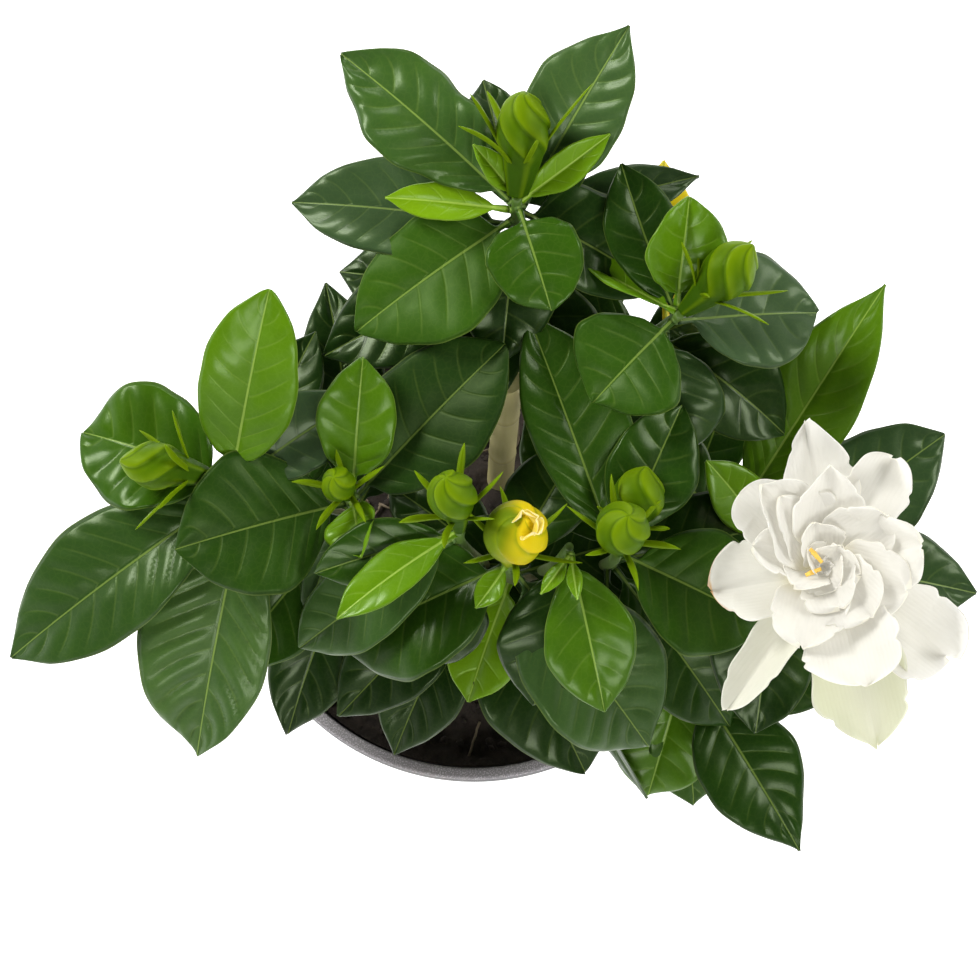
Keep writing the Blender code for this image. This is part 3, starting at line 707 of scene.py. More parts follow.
def add_leaf(shape, blade, seed, tone, fold=13.0, quilt=1.0, wave=1.0, point=0.80, grey=0.0,
             curl=0.0, slim=1.0, lean=0.0, widest=0.50, matt=0.0, twist=0.0, ragged=1.3):
    """Adds one leaf: petiole, keeled midrib, blade quilted between arching side veins, wavy margin."""
    rng = random.Random(seed)
    half_width = 0.5 * blade.width * slim
    veins = max(5, min(10, round(blade.length / VEIN_EVERY)))
    stalk_share = 0.5 * blade.stalk / blade.length
    root_share = -ROOT_IN / blade.length
    ahead = np.linspace(0, 1, LEAF_RINGS) ** 1.05
    u = np.concatenate([np.zeros(LEAF_STALK_RINGS), np.clip(ahead * 0.996 + 0.002, 0, 1)])
    share = np.concatenate([np.linspace(root_share, stalk_share, LEAF_STALK_RINGS, endpoint=False),
                            stalk_share + (1 - stalk_share) * u[LEAF_STALK_RINGS:]])
    spine, left, up = blade.read(share * blade.length)
    across, v, top = blade_section(LEAF_HALF, 1.15)
    around = len(v)
    U, V = u[:, None], v[None, :]
    side = np.where(V >= 0, 1.0, -1.0)
    half = np.maximum(half_width * leaf_outline(U, point, widest), 0.35 * MM)
    coarse = 0.022 * np.sin(U * 11 + rng.uniform(0, 6) + side)
    uneven = 1 + ragged * (coarse + 0.006 * np.sin(U * 29 + side * 1.7))
    half = half * (1 + side * (lean + 0.04 * rng.uniform(-1, 1))) * uneven
    reach = abs(V)
    arch = veins * (U ** 0.92 - (0.20 + 0.06 * rng.random()) * reach ** 1.25 * (1 - 0.35 * U))
    arch = arch + 0.10 * np.sin(U * 9 + rng.uniform(0, 6) + side)
    vein = arch + np.where(side > 0, 0.0, 0.43)
    ridge = abs(np.sin(math.pi * vein)) ** 0.75
    inside = smooth_step(reach, 0.03, 0.26) * (1 - smooth_step(reach, 0.72, 1.0))
    inside = inside * smooth_step(U, 0.02, 0.14) * (1 - smooth_step(U, 0.86, 0.98))
    puff = quilt * min(half_width, 16 * MM) * 0.028 * (ridge - 0.55) * inside
    sway = [rng.uniform(0, 2 * math.pi) for _ in range(4)]
    rolling = 0.020 * np.sin(5.5 * U + 1.8 * V + sway[0]) + 0.014 * np.sin(9 * U - 3.1 * V + sway[1])
    rolling = rolling + 0.010 * np.sin(17 * U + 2 * V + sway[2])
    rolling = rolling * half_width * smooth_step(reach, 0.0, 0.35)
    bowl = half * reach * math.tan(math.radians(fold)) * (1.15 - 0.3 * reach)
    lip = -0.05 * half * reach ** 6
    phase = rng.uniform(0, 2 * math.pi)
    swing = np.sin(2 * math.pi * (1.7 * U + 0.13 * side) + phase + side * rng.uniform(0.4, 1.6))
    ripple = wave * 0.060 * half_width * reach ** 2.4 * swing * smooth_step(U, 0.05, 0.3)
    tilt = rng.uniform(-0.10, 0.10) * half * V * smooth_step(U, 0.2, 1.0)
    tilt = tilt + twist * half * V * smooth_step(U, 0.5, 1.0)
    groove = -0.28 * MM * np.exp(-(V * half / (0.75 * MM)) ** 2) * (1 - 0.6 * U)
    height = bowl + lip + ripple + tilt + puff + rolling * smooth_step(U, 0.0, 0.2)
    height = height + curl * half_width * U ** 3
    thick = 0.24 * MM * (1 - 0.55 * reach ** 3)
    keel = 0.6 * MM * np.exp(-(V * half / (0.7 * MM)) ** 2) * (1 - 0.75 * U)
    lift = height + np.where(top > 0, thick + groove, np.where(top < 0, -thick - keel, 0.0))
    shift = half * V
    angle = np.concatenate([np.linspace(0, math.pi, len(across)),
                            np.linspace(math.pi, 2 * math.pi, len(across))[1:-1]])[None, :]
    round_radius = (0.95 - 0.15 * smooth_step(share[:, None], 0, stalk_share)) * MM
    blend = smooth_step(U, 0.0, 0.07)
    shift = shift * blend + round_radius * np.cos(angle) * (1 - blend)
    lift = lift * blend + round_radius * np.sin(angle) * (1 - blend)
    points = spine[:, None] + left[:, None] * shift[..., None] + up[:, None] * lift[..., None]
    edge = (1 - reach) * (0.4 + 0.6 * leaf_outline(U, point, widest))
    shape.add(points, ring_faces(len(u), around), vein=vein, across=shift / MM, rib=0.46 - 0.30 * U,
              edge=edge, under=np.where(top < 0, 1.0, 0.0), tone=tone, grey=grey, matt=matt)


# How each leaf in the frame differs from the plain form: tone 0 is young, 1 is old and dark; a greyer colour
# on some leaves is painted sheen, for leaves that face the light.
LEAF_LOOKS = {
    "leaf_back_1": dict(tone=0.70, grey=0.45, quilt=2.0, wave=3.4, twist=0.35, ragged=4.0),
    "leaf_back_2": dict(tone=0.86, grey=0.8),
    "leaf_back_3": dict(tone=0.72, quilt=0.8, slim=1.06, lean=0.10, matt=0.8, widest=0.42, point=0.70),
    "leaf_back_4": dict(tone=0.72, quilt=0.6, point=0.60, widest=0.40),
    "leaf_back_5": dict(tone=0.68, grey=0.8, quilt=1.8, point=0.90, ragged=2.4),
    "leaf_back_6": dict(tone=0.92, grey=0.5, point=0.94, slim=0.78),
    "leaf_back_7": dict(tone=0.31, quilt=0.3, fold=18, point=0.84),
    "leaf_side_1": dict(tone=0.52, quilt=1.0, fold=22, point=0.66),
    "leaf_side_2": dict(tone=0.86, quilt=1.8, grey=1.1, point=0.74),
    "leaf_side_3": dict(tone=0.80, matt=0.5, quilt=0.7, point=0.74),
    "leaf_side_4": dict(tone=0.88, grey=0.3, point=0.66),
    "leaf_flower_1": dict(tone=0.56, quilt=1.2, wave=0.6, point=0.96),
    "leaf_flower_2": dict(tone=0.93, quilt=1.4, grey=0.5, ragged=2.4),
    "leaf_flower_3": dict(tone=0.92, quilt=1.4, grey=0.5),
    "leaf_low_1": dict(tone=0.92, point=1.0, widest=0.42, slim=0.94),
    "leaf_low_2": dict(tone=0.62, point=0.74),
    "leaf_left_1": dict(tone=0.53, quilt=0.8, wave=0.5, point=0.58),
    "leaf_left_2": dict(tone=0.68, quilt=1.5, wave=1.4, point=0.66),
    "leaf_left_3": dict(tone=0.80, grey=0.3, quilt=1.6, point=0.84),
    "leaf_left_4": dict(tone=0.66, grey=0.7, quilt=2.6, wave=1.3, point=0.90, slim=0.92, lean=-0.14),
    "leaf_mid_1": dict(tone=0.86, matt=0.6, point=0.74),
    "leaf_mid_2": dict(tone=0.60, quilt=1.4, fold=20, point=0.66),
    "leaf_mid_3": dict(tone=0.94, quilt=0.6, matt=0.8, point=0.62, slim=0.95, lean=0.0),
    "leaf_mid_4": dict(tone=0.84, point=0.80),
    "leaf_centre_1": dict(tone=0.74, grey=0.5, point=0.74),
    "leaf_front_1": dict(tone=0.84, point=0.58),
    "leaf_front_2": dict(tone=0.95, point=0.74),
    "leaf_front_3": dict(tone=0.74, grey=0.6, quilt=1.6, point=0.74),
    "leaf_right_1": dict(tone=0.82, point=0.80, slim=0.92, lean=-0.16),
    "leaf_right_2": dict(tone=0.86, point=0.74),
    "leaf_right_3": dict(tone=0.80, matt=0.6, quilt=1.2, point=0.66),
    "leaf_right_4": dict(tone=0.90, point=0.74),
    "leaf_inner_1": dict(tone=0.64, quilt=0.9, wave=0.5, point=0.80),
}

# Smaller leaves, by shoot: mm below its apex, azimuth, rise, length, width, droop, roll, tone, looks.
SMALL_LEAVES = {
    "back": [
        (12, 101, -10, 38, 18, 30, 0, 1.0),
        (12, -96, -26, 34, 26, 34, 0, 0.98, dict(widest=0.36, point=0.6)),
        (20, 172, -20, 38, 26, 30, 0, 0.97),
        (9, 62, -4, 34, 22, 30, 0, 0.97, dict(widest=0.34, point=0.6)),
        (8, -24, -16, 40, 26, 30, 0, 0.97, dict(widest=0.32, point=0.6)),
        (4, 30, 24, 28, 9, 16, 20, 0.36, dict(fold=24)),
        (3, 137, 40, 18, 7, 12, 10, 0.36, dict(fold=24)), (30, -112, -14, 44, 24, 34, 0, 1.0),
        (30, -62, -20, 42, 24, 34, 0, 1.0), (34, -158, -8, 52, 26, 34, 0, 1.0),
        (46, 176, -6, 44, 26, 30, 0, 1.0),
    ],
    "side": [
        (4, 115, 12, 39, 19, 20, 0, 0.88), (12, 95, -2, 41, 17, 26, 0, -0.6),
        (3, 153, 2, 27, 10, 14, 35, 0.46, dict(fold=30)), (26, -32, -18, 42, 25, 36, 0, 0.96),
        (28, 160, -8, 40, 22, 34, 0, 0.95), (30, -105, -44, 32, 25, 30, 0, 0.96),
    ],
    "flower": [
        (20, 128, 30, 28, 15, 20, 10, 0.45), (16, -98, -18, 46, 27, 34, 0, 0.98),
        (40, 136, 26, 46, 21, 26, 0, 0.86),
    ],
    "left": [
        (8, 35, 16, 38, 20, 20, 6, 0.88, dict(grey=0.9)), (16, 72, 2, 42, 18, 26, 0, 1.0),
        (34, -52, -10, 44, 24, 34, 0, 0.98),
    ],
    "mid": [
        (2, -78, 24, 17, 15, 26, 30, 0.42, dict(fold=30)),
        (12, -118, -34, 35, 11, 30, 40, 0.80, dict(grey=0.5)),
        (20, 93, 4, 58, 22, 30, 0, 1.0), (50, -117, -23, 61, 25, 30, 0, 1.0),
        (24, 62, 4, 44, 23, 34, 0, 0.98),
    ],
    "centre": [
        (7, -166, -6, 36, 17, 30, -20, 0.84), (5, -147, 2, 36, 13, 20, 14, 0.45, dict(wave=0.5)),
        (60, -121, -28, 58, 24, 30, 0, 1.0), (56, -132, -22, 56, 24, 30, 0, 1.0),
        (20, -104, -46, 40, 24, 30, 0, 0.98),
    ],
    "front": [
        (10, 60, 4, 34, 21, 24, 0, 0.88), (3, -122, 0, 13, 7, 14, 0, 0.42, dict(fold=26)),
        (38, -112, -14, 33, 21, 22, 20, 0.36), (40, -59, -27, 71, 11, 30, 70, 0.90, dict(grey=0.5)),
        (34, 18, -4, 44, 24, 34, 0, 0.98),
    ],
    "inner": [
        (1, -124, 16, 12, 4.4, 8, 0, 0.42, dict(fold=26)), (1, -84, 16, 11, 4, 8, 0, 0.42, dict(fold=26)),
        (16, -100, -30, 40, 24, 30, 0, 0.95),
    ],
    "right": [
        (14, 123, -3, 41, 20, 24, 0, 0.80),
        (22, 10, -4, 42, 24, 34, 0, 0.95),
        (30, -90, -30, 44, 25, 34, 0, 0.98),
    ],
    "low": [
        (6, 4, 12, 40, 24, 30, 0, 0.95), (22, -150, -4, 38, 22, 34, 0, 0.98),
        (16, -75, -30, 38, 22, 34, 0, 0.80),
    ],
}

# Old leaves low on the rooted shoots: mm below the apex of the first, and the turn of the first.
OLD_LEAVES = {"back": (56, 150), "side": (40, 20), "left": (44, 100), "mid": (60, 200), "right": (42, 40),
              "flower": (52, 70), "front": (52, 0)}
OLD_LEAF_EVERY = 11 * MM
OLD_LEAF_TURN = 137.5               # degrees from one old leaf to the next
OLD_LEAF_FOOT = 24 * MM             # the lowest old leaf, above the potting mix
OPEN_SIDE = (-128, -52)             # azimuths kept clear of low leaves, where the potting mix shows


def make_leaves(material):
    for number, (node, look) in enumerate(LEAF_LOOKS.items()):
        shape = Shape()
        add_leaf(shape, measured_blade(node), 100 + number, **look)
        slot = "leaf_young" if look["tone"] < 0.7 else "leaf_mature"
        settle(shape.make(f"{node}_blade", material), slot, node)


def place_on(line, below):
    """The point of a shoot's middle line at a distance below its apex."""
    return line[min(len(line) - 1, round(below / LINE_STEP))]


def clear_of_cane(blade):
    """Whether a leaf passes beside the cane, not through it."""
    low, high = (np.array(corner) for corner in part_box("bamboo_cane"))
    inset = np.array([CANE_RADIUS, CANE_RADIUS, 0.0])
    share = (blade.spine[:, 2:] - low[2]) / (high[2] - low[2])
    middle = low + inset + (high - low - 2 * inset) * share
    gap = np.linalg.norm((blade.spine - middle)[:, :2], axis=1)
    return gap.min() > 0.5 * blade.width + 3 * MM


def make_small_leaves(material, lines):
    """The small, inner and old leaves: one piece for each shoot, set on the shoot's own skin."""
    seed = 500
    for shoot, plans in SMALL_LEAVES.items():
        shape = Shape()
        line = lines[shoot]
        for below, azimuth, rise, length, width, droop, roll, tone, *looks in plans:
            seed += 1
            start = place_on(line, below * MM) + direction(azimuth, rise + droop / 2) * 1.5 * MM
            blade = planned_blade(start, azimuth, rise, length * MM, width * MM, droop, roll,
                                  min(5.0, length * 0.12) * MM, sweep=random.Random(seed).uniform(-10, 10))
            add_leaf(shape, blade, seed, tone, **{"quilt": 0.4 + 0.7 * tone, **dict(*looks)})
        settle(shape.make(f"small_leaves_{shoot}", material), "leaf_mature")
    for shoot, (first, turn) in OLD_LEAVES.items():
        shape = Shape()
        rng = random.Random(shoot)
        below = first * MM
        azimuth = turn
        while True:
            seed += 1
            spot = place_on(lines[shoot], below)
            if spot[2] < SOIL_TOP + OLD_LEAF_FOOT:
                break
            heading = (azimuth + 180) % 360 - 180
            if not OPEN_SIDE[0] < heading < OPEN_SIDE[1]:
                start = spot + direction(heading, 12) * 1.8 * MM
                size = rng.uniform(0.85, 1.12)
                blade = planned_blade(start, heading, rng.uniform(-6, 8), 42 * MM * size, 23 * MM * size,
                                      rng.uniform(26, 42), rng.uniform(-12, 12), 5 * MM, rng.uniform(-14, 14))
                if clear_of_cane(blade):
                    add_leaf(shape, blade, seed, rng.uniform(0.88, 1.0))
            below += OLD_LEAF_EVERY
            azimuth += OLD_LEAF_TURN
        if shape.count:
            settle(shape.make(f"old_leaves_{shoot}", material), "leaf_mature")


# ================================================================ flower

PETAL_RINGS = 72
PETAL_HALF = 14


def petal_outline(u, point):
    """Half width of a petal: a narrow claw, widest past the middle, and a broad or pointed end."""
    to_claw = 0.85
    peak = to_claw / (to_claw + point)
    return u ** to_claw * (1 - u) ** point / (peak ** to_claw * (1 - peak) ** point)


def add_petal(shape, blade, seed, tone=0.0, cup=14.0, ruffle=1.0, point=0.55, hook=0.0, pleat=0.0, rust=0.0,
              slim=1.0, trim=1.0):
    """Adds one petal: thin, cupped or pleated, with a ruffled, notched margin."""
    rng = random.Random(seed)
    half_width = 0.5 * blade.width * slim
    base = np.linspace(0, 1, PETAL_RINGS)
    u = np.clip(1 - (1 - base) ** 1.35, 0.003, 0.9985)
    spine, left, up = blade.read(u * blade.length * trim)
    _, v, top = blade_section(PETAL_HALF)
    U, V = u[:, None], v[None, :]
    side = np.where(V >= 0, 1.0, -1.0)
    reach = abs(V)
    phase = [rng.uniform(0, 2 * math.pi) for _ in range(8)]
    uneven = 1 + 0.06 * np.sin(U * 9 + phase[0] + side * phase[1]) + 0.035 * np.sin(U * 21 + side * phase[2])
    notch = -0.09 * np.exp(-((U - 0.72 - 0.08 * side * math.sin(phase[3])) / 0.028) ** 2)
    half = np.maximum(half_width * petal_outline(U, point) * (uneven + notch), 0.5 * MM)
    bowl = half * reach * math.tan(math.radians(cup)) * (0.5 + 0.9 * reach)
    swing = np.sin(2 * math.pi * 1.7 * U + phase[4] + side * phase[5])
    frill = ruffle * half_width * 0.15 * reach ** 2.4 * swing * smooth_step(U, 0.2, 0.8)
    crest = ruffle * half_width * 0.15 * smooth_step(U, 0.4, 1.0) * np.sin(2.6 * V + phase[6])
    crest = crest + ruffle * half_width * 0.06 * smooth_step(U, 0.5, 1.0) * np.sin(6.3 * V + phase[7])
    crease = -0.05 * half_width * np.exp(-(V / 0.14) ** 2) * (1 - 0.7 * U)
    pleats = pleat * half_width * np.abs(V + 0.15 * np.sin(4 * U)) * smooth_step(U, 0.1, 0.6)
    soft = 0.035 * half_width * np.sin(5 * V + 6 * U + phase[2]) * smooth_step(U, 0.1, 0.5)
    height = bowl + frill + crest + crease + pleats + soft + hook * half_width * U ** 3
    thick = 0.26 * MM * (1 - 0.6 * reach ** 4) * (1.5 - 0.7 * U)
    lift = height + thick * top[None, :]
    shift = half * V * np.cos(0.35 * reach * ruffle)
    points = spine[:, None] + left[:, None] * shift[..., None] + up[:, None] * lift[..., None]
    edge = (1 - reach) * (1 - smooth_step(U, 0.9, 1.0))
    shape.add(points, ring_faces(len(u), len(v)), along=U, across=shift / MM, edge=edge, tone=tone, rust=rust)


PETAL_LOOKS = {
    "petal_inner_1": dict(cup=16, ruffle=0.7, trim=0.8),
    "petal_inner_2": dict(cup=16, ruffle=0.7, trim=0.8),
    "petal_inner_3": dict(cup=16, ruffle=0.7, trim=0.8),
    "petal_mid_1": dict(cup=8, ruffle=0.9, point=0.5),
    "petal_mid_2": dict(cup=10, ruffle=0.9, point=0.5, trim=0.84),
    "petal_mid_3": dict(cup=16, ruffle=0.9, point=0.7),
    "petal_outer_1": dict(cup=20, ruffle=0.5, tone=0.35, point=0.8, pleat=0.35, slim=0.66),
    "petal_outer_2": dict(cup=18, ruffle=0.6, tone=0.85, point=0.85),
    "petal_outer_3": dict(cup=6, ruffle=1.5, point=0.55),
    "petal_outer_4": dict(cup=8, ruffle=1.4, point=0.5),
    "petal_outer_5": dict(cup=10, ruffle=0.6, point=1.0, pleat=0.25),
    "petal_outer_6": dict(cup=20, ruffle=0.5, point=0.55),
    "petal_outer_7": dict(cup=16, ruffle=0.8, point=0.8, tone=0.08, rust=1.0),
}

# Petals of the rolled heart: azimuth, rise, length, width, droop, roll, mm from the axis, mm up, looks.
HEART_PETALS = [
    (140, 56, 9, 9, 40, 22, 0.6, 4.4, dict(cup=18, ruffle=0.5)),
    (40, 54, 10, 10, 40, 22, 0.6, 4.4, dict(cup=18, ruffle=0.5)),
    (-55, 48, 10, 12, 30, 20, 0.8, 4.2, dict(cup=18, ruffle=0.5)),
    (-70, 40, 15, 16, 28, 18, 1.0, 3.6, dict(cup=14, ruffle=0.6)),
    (-50, 33, 20, 20, 24, 16, 1.4, 3.0, dict(cup=12, ruffle=0.6)),
    (-104, 28, 23, 20, 20, 14, 1.8, 2.4, dict(cup=10, ruffle=0.8)),
    (-20, 29, 23, 21, 20, 14, 1.8, 2.4, dict(cup=10, ruffle=0.9)),
    (35, 32, 21, 19, 20, 14, 1.8, 2.4, dict(cup=10, ruffle=0.8)),
    (85, 36, 26, 18, 14, 14, 1.8, 2.4, dict(cup=12, ruffle=0.5, point=0.8)),
    (124, 40, 22, 14, 16, 18, 1.8, 2.4, dict(cup=14, ruffle=0.4, point=0.8)),
    (168, 34, 19, 15, 20, 18, 1.8, 2.4, dict(cup=14, ruffle=0.5, point=0.7)),
]
FLOWER_WAY = direction(-40, 80)      # the way that the open flower faces
HEART_AWAY = np.array([-3.0, 1.0, 0.0]) * MM
FLOWER_TUBE_RADIUS = 2.6 * MM
STAMENS = 2


def add_core(shape, centre, way):
    """The rolled core: the innermost petals wound round each other, seen as a swirl."""
    rows, around = 40, 96
    side, up = frame_along(way)
    share = np.linspace(0, 1, rows)
    wide = np.interp(share, [0, 0.3, 0.6, 0.85, 0.95, 1.0], [0.5, 0.8, 1.0, 0.94, 0.7, 0.25])
    S, A = share[:, None], full_turn(around)[None, :]
    step = ((A + 3.4 * S) / (2 * math.pi) * 4) % 1.0
    roll = np.where(step < 0.85, step / 0.85, (1 - step) / 0.15)
    radius = 2.4 * MM * wide[:, None] * (0.74 + 0.32 * roll + 0.04 * np.sin(9 * A))
    top = (7.5 + 1.2 * roll - 3.0 * (S > 0.97)) * MM
    points = round_about(centre + way * (S * top)[..., None], side, up, A, radius)
    shape.add(points, ring_faces(rows, around), along=0.45, across=3, edge=0.3, tone=0, rust=0)


def opened(blade):
    """An inner petal let down from upright, as it stands when the heart has opened."""
    away = blade.spine[2] - blade.spine[0]
    azimuth = math.degrees(math.atan2(away[1], away[0]))
    return planned_blade(blade.spine[0] + HEART_AWAY, azimuth, 46, blade.length, blade.width, 44, 20, 1 * MM)


def make_flower(material, gold):
    for number, (node, look) in enumerate(PETAL_LOOKS.items()):
        shape = Shape()
        blade = measured_blade(node)
        if "inner" in node:
            blade = opened(blade)
        add_petal(shape, blade, 300 + number, **look)
        settle(shape.make(f"{node}_blade", material), "petal", node)
    inner = [measured_blade(f"petal_inner_{i}").spine[0] for i in (1, 2, 3)]
    centre = np.mean(inner, axis=0) + HEART_AWAY
    shape = Shape()
    for number, (azimuth, rise, length, width, droop, roll, away, height, look) in enumerate(HEART_PETALS):
        start = centre + direction(azimuth, 0) * away * MM + FLOWER_WAY * (height - 2.6) * MM
        blade = planned_blade(start, azimuth, rise, length * MM, width * MM, droop, roll, 1 * MM)
        add_petal(shape, blade, 360 + number, **look)
    add_core(shape, centre, FLOWER_WAY)
    settle(shape.make("flower_heart", material), "petal")
    shape = Shape()
    for i in range(STAMENS):
        turn = 205 - 70 * i
        start = centre + direction(turn, 0) * 1.5 * MM + FLOWER_WAY * 8 * MM
        blade = planned_blade(start, turn, 24, 4.6 * MM, 1.3 * MM, 20, 0, 1 * MM)
        add_petal(shape, blade, 400 + i, cup=0, ruffle=0.3)
    settle(shape.make("flower_stamens", gold), "petal")


# ================================================================ buds and sepals

BUD_AROUND = 72
BUD_ROWS = 56
CALYX_SHARE = 0.36
BUD_SWELL = 1.12                    # rolled petals stand a little proud of the plain solid

# Bud: petals rolled in it, depth of their folds, turn, sepal lengths in mm by angle in degrees.
BUD_LOOKS = {
    "bud_back": dict(fold=0.12, turn=70, spread=0.55, plump=0.7,
                     sepals=[(10, 28), (70, 25), (120, 30), (180, 24), (240, 19), (300, 26)]),
    "bud_side": dict(fold=0.11, turn=75,
                     sepals=[(15, 19), (75, 16), (135, 15), (195, 18), (255, 20), (315, 20)]),
    "bud_left": dict(fold=0.11, turn=70,
                     sepals=[(20, 15), (80, 16), (140, 15), (200, 18), (260, 16), (320, 17)]),
    "bud_mid": dict(fold=0.07, turn=50,
                     sepals=[(10, 13), (80, 12), (160, 12), (230, 14), (300, 13)]),
    "bud_centre": dict(fold=0.11, turn=60,
                     sepals=[(0, 15), (60, 14), (120, 17), (180, 14), (240, 13), (300, 16)]),
    "bud_front": dict(fold=0.10, turn=80,
                     sepals=[(20, 14), (80, 13), (150, 15), (210, 17), (270, 14), (330, 14)]),
    "bud_right": dict(fold=0.10, turn=65,
                     sepals=[(15, 16), (75, 15), (135, 12), (195, 14), (255, 15), (315, 16)]),
}


def add_bud(shape, axis, fold, turn, petals=5, plump=1.0):
    """Adds a bud: petals rolled over each other, so each overlapping edge winds up to the tip."""
    share = np.linspace(0, 1, BUD_ROWS)
    wide = np.interp(share, [0, 0.10, 0.24, CALYX_SHARE, 0.44, 0.54, 0.64, 0.75, 0.86, 0.94, 0.98, 1.0],
                     [0.26, 0.36, 0.50, 0.60, 0.76, 0.93, 1.0, 0.93, 0.70, 0.40, 0.20, 0.03])
    wide = np.convolve(np.pad(wide, 2, mode="edge"), [0.1, 0.2, 0.4, 0.2, 0.1], mode="valid") ** plump
    S, A = share[:, None], full_turn(BUD_AROUND)[None, :]
    wound = A - math.radians(turn) * np.maximum(S - CALYX_SHARE, 0) / (1 - CALYX_SHARE) * 2.2
    step = (wound / (2 * math.pi) * petals) % 1.0
    roll = np.where(step < 0.80, (step / 0.80) ** 0.8, (1 - step) / 0.20)
    petal_part = smooth_step(S, CALYX_SHARE - 0.01, CALYX_SHARE + 0.12)
    rib = 0.5 + 0.5 * np.cos(A * petals)
    ridge = 0.75 * roll * petal_part + rib * 0.6 * (1 - petal_part)
    relief = 1 + 1.15 * fold * (roll - 0.65) * petal_part + 0.09 * rib * (1 - petal_part)
    radius = BUD_SWELL * axis.radius * wide[:, None] * relief
    bend = (axis.radius * 0.10 * np.sin(math.pi * share))[:, None, None] * axis.side
    middle = axis.base + axis.way * axis.length * S[..., None] + bend
    points = round_about(middle, axis.side, axis.up, A, radius)
    left_side = -(axis.side[0] * np.cos(A) + axis.up[0] * np.sin(A))
    shape.add(points, ring_faces(BUD_ROWS, BUD_AROUND), along=S, ridge=ridge, side=left_side)


def add_sepal(shape, start, way, outward, length, width, spread, seed):
    """Adds one narrow keeled sepal, which leaves the calyx along the bud and leans outwards."""
    rng = random.Random(seed)
    rows, around = 20, 8
    place = np.array(start)
    side = unit(np.cross(way, outward))
    open_out = spread * rng.uniform(0.7, 1.5)
    lean = spread * rng.uniform(-0.3, 0.7)
    sway = rng.uniform(-0.35, 0.35)
    rings = []
    for i in range(rows):
        share = i / (rows - 1)
        along = unit(way * (0.9 - 0.35 * share) + outward * (open_out + lean * share) + side * sway * share)
        flat = unit(np.cross(along, unit(outward + 0.3 * way)))
        normal = np.cross(flat, along)
        half = 0.5 * width * (1 - share ** 9) * (0.85 + 0.3 * math.sin(math.pi * share ** 1.5)) + 0.10 * MM
        ring = []
        for k in range(around):
            turn = 2 * math.pi * k / around
            ring.append(place + flat * half * math.cos(turn)
                        + normal * (0.42 * half * math.sin(turn) + 0.25 * half * abs(math.cos(turn))))
        rings.append(ring)
        place = place + along * length / (rows - 1)
    points = np.array(rings)
    share = np.linspace(0.3, 0.85, rows)[:, None]
    ridge = 0.7 + 0.3 * np.abs(np.cos(np.arange(around) * 2 * math.pi / around))[None, :]
    shape.add(points, ring_faces(rows, around), along=share, ridge=ridge, side=0.0)


def add_sepals(shape, axis, share, radius, sepals, seed, spread=1.0):
    for number, (angle, length) in enumerate(sepals):
        turn = math.radians(angle)
        outward = axis.side * math.cos(turn) + axis.up * math.sin(turn)
        start = axis.at(share) + outward * radius * 0.8
        add_sepal(shape, start, axis.way, outward, 0.95 * length * MM, 1.45 * MM, spread, seed + number)


# The parting petal tips of the opening bud: azimuth, rise, length, width, mm to the right.
PARTING = [(30, 56, 5.5, 7, 1.0), (-40, 52, 6, 7.5, 1.2), (95, 60, 5.5, 6.5, 0.6)]


def make_second_bud(green, line):
    """A small half-rolled bud beside the right-hand one, on the same shoot."""
    start = place_on(line, 3 * MM) + direction(76, 20) * 2 * MM
    axis = Axis(start, direction(70, 26), 21 * MM, 6.0 * MM)
    shape = Shape()
    add_bud(shape, axis, 0.10, 60, petals=4)
    add_sepals(shape, axis, 0.22, 2.4 * MM, [(20, 11), (140, 10), (260, 12)], 790)
    settle(shape.make("bud_second", green), "bud_green")


def make_buds(green, yellow, gold):
    for number, (node, look) in enumerate(BUD_LOOKS.items()):
        axis = measured_bud(node)
        shape = Shape()
        add_bud(shape, axis, look["fold"], look["turn"], plump=look.get("plump", 1.0))
        opening = node == "bud_front"
        slot = "bud_yellow" if opening else "bud_green"
        settle(shape.make(f"{node}_rolled", yellow if opening else green), slot, node)
        if opening:
            tips = Shape()
            for count, (azimuth, rise, length, width, right) in enumerate(PARTING):
                start = axis.at(0.84) + np.array([right, -0.6, 0.0]) * MM
                blade = planned_blade(start, azimuth, rise, length * MM, width * MM, -30, 0, 0.5 * MM)
                add_petal(tips, blade, 440 + count, tone=0.0, cup=20, ruffle=1.0, point=0.35)
            settle(tips.make(f"{node}_parting", gold), "bud_yellow")
        crown = Shape()
        add_sepals(crown, axis, CALYX_SHARE * 0.85, axis.radius * 0.58, look["sepals"], 700 + 10 * number,
                   look.get("spread", 1.0))
        settle(crown.make(f"{node}_sepals", green), "bud_green")


def make_flower_calyx(green):
    """The open flower's calyx and tube, with its sepals under the petals."""
    points = solid_points("flower_calyx")
    depth = points @ FLOWER_WAY
    foot = points[depth < depth.min() + 0.3 * MM].mean(axis=0)
    top = points[depth > depth.max() - 0.3 * MM].mean(axis=0)
    length = np.linalg.norm(top - foot)
    axis = Axis(foot, unit(top - foot), length, FLOWER_TUBE_RADIUS)
    shape = Shape()
    share = np.linspace(0, 1, 40)
    wide = np.interp(share, [0, 0.15, 0.34, 0.42, 0.8, 0.96, 1], [0.75, 1.15, 1.3, 0.95, 0.9, 1.1, 0.9])
    angle = full_turn(48)
    S, A = share[:, None], angle[None, :]
    rib = 0.5 + 0.5 * np.cos(6 * A)
    radius = axis.radius * wide[:, None] * (1 + 0.10 * rib * (S < 0.4))
    rings = round_about(foot + axis.way * length * S[..., None], axis.side, axis.up, A, radius)
    shape.add(rings, ring_faces(len(share), len(angle)), along=S, ridge=rib, side=0.0)
    add_sepals(shape, axis, 0.3, axis.radius * 1.2, [(i * 60 + 15, 14) for i in range(6)], 800)
    settle(shape.make("flower_calyx_tube", green), "bud_green", "flower_calyx")


# ================================================================ stems and cane

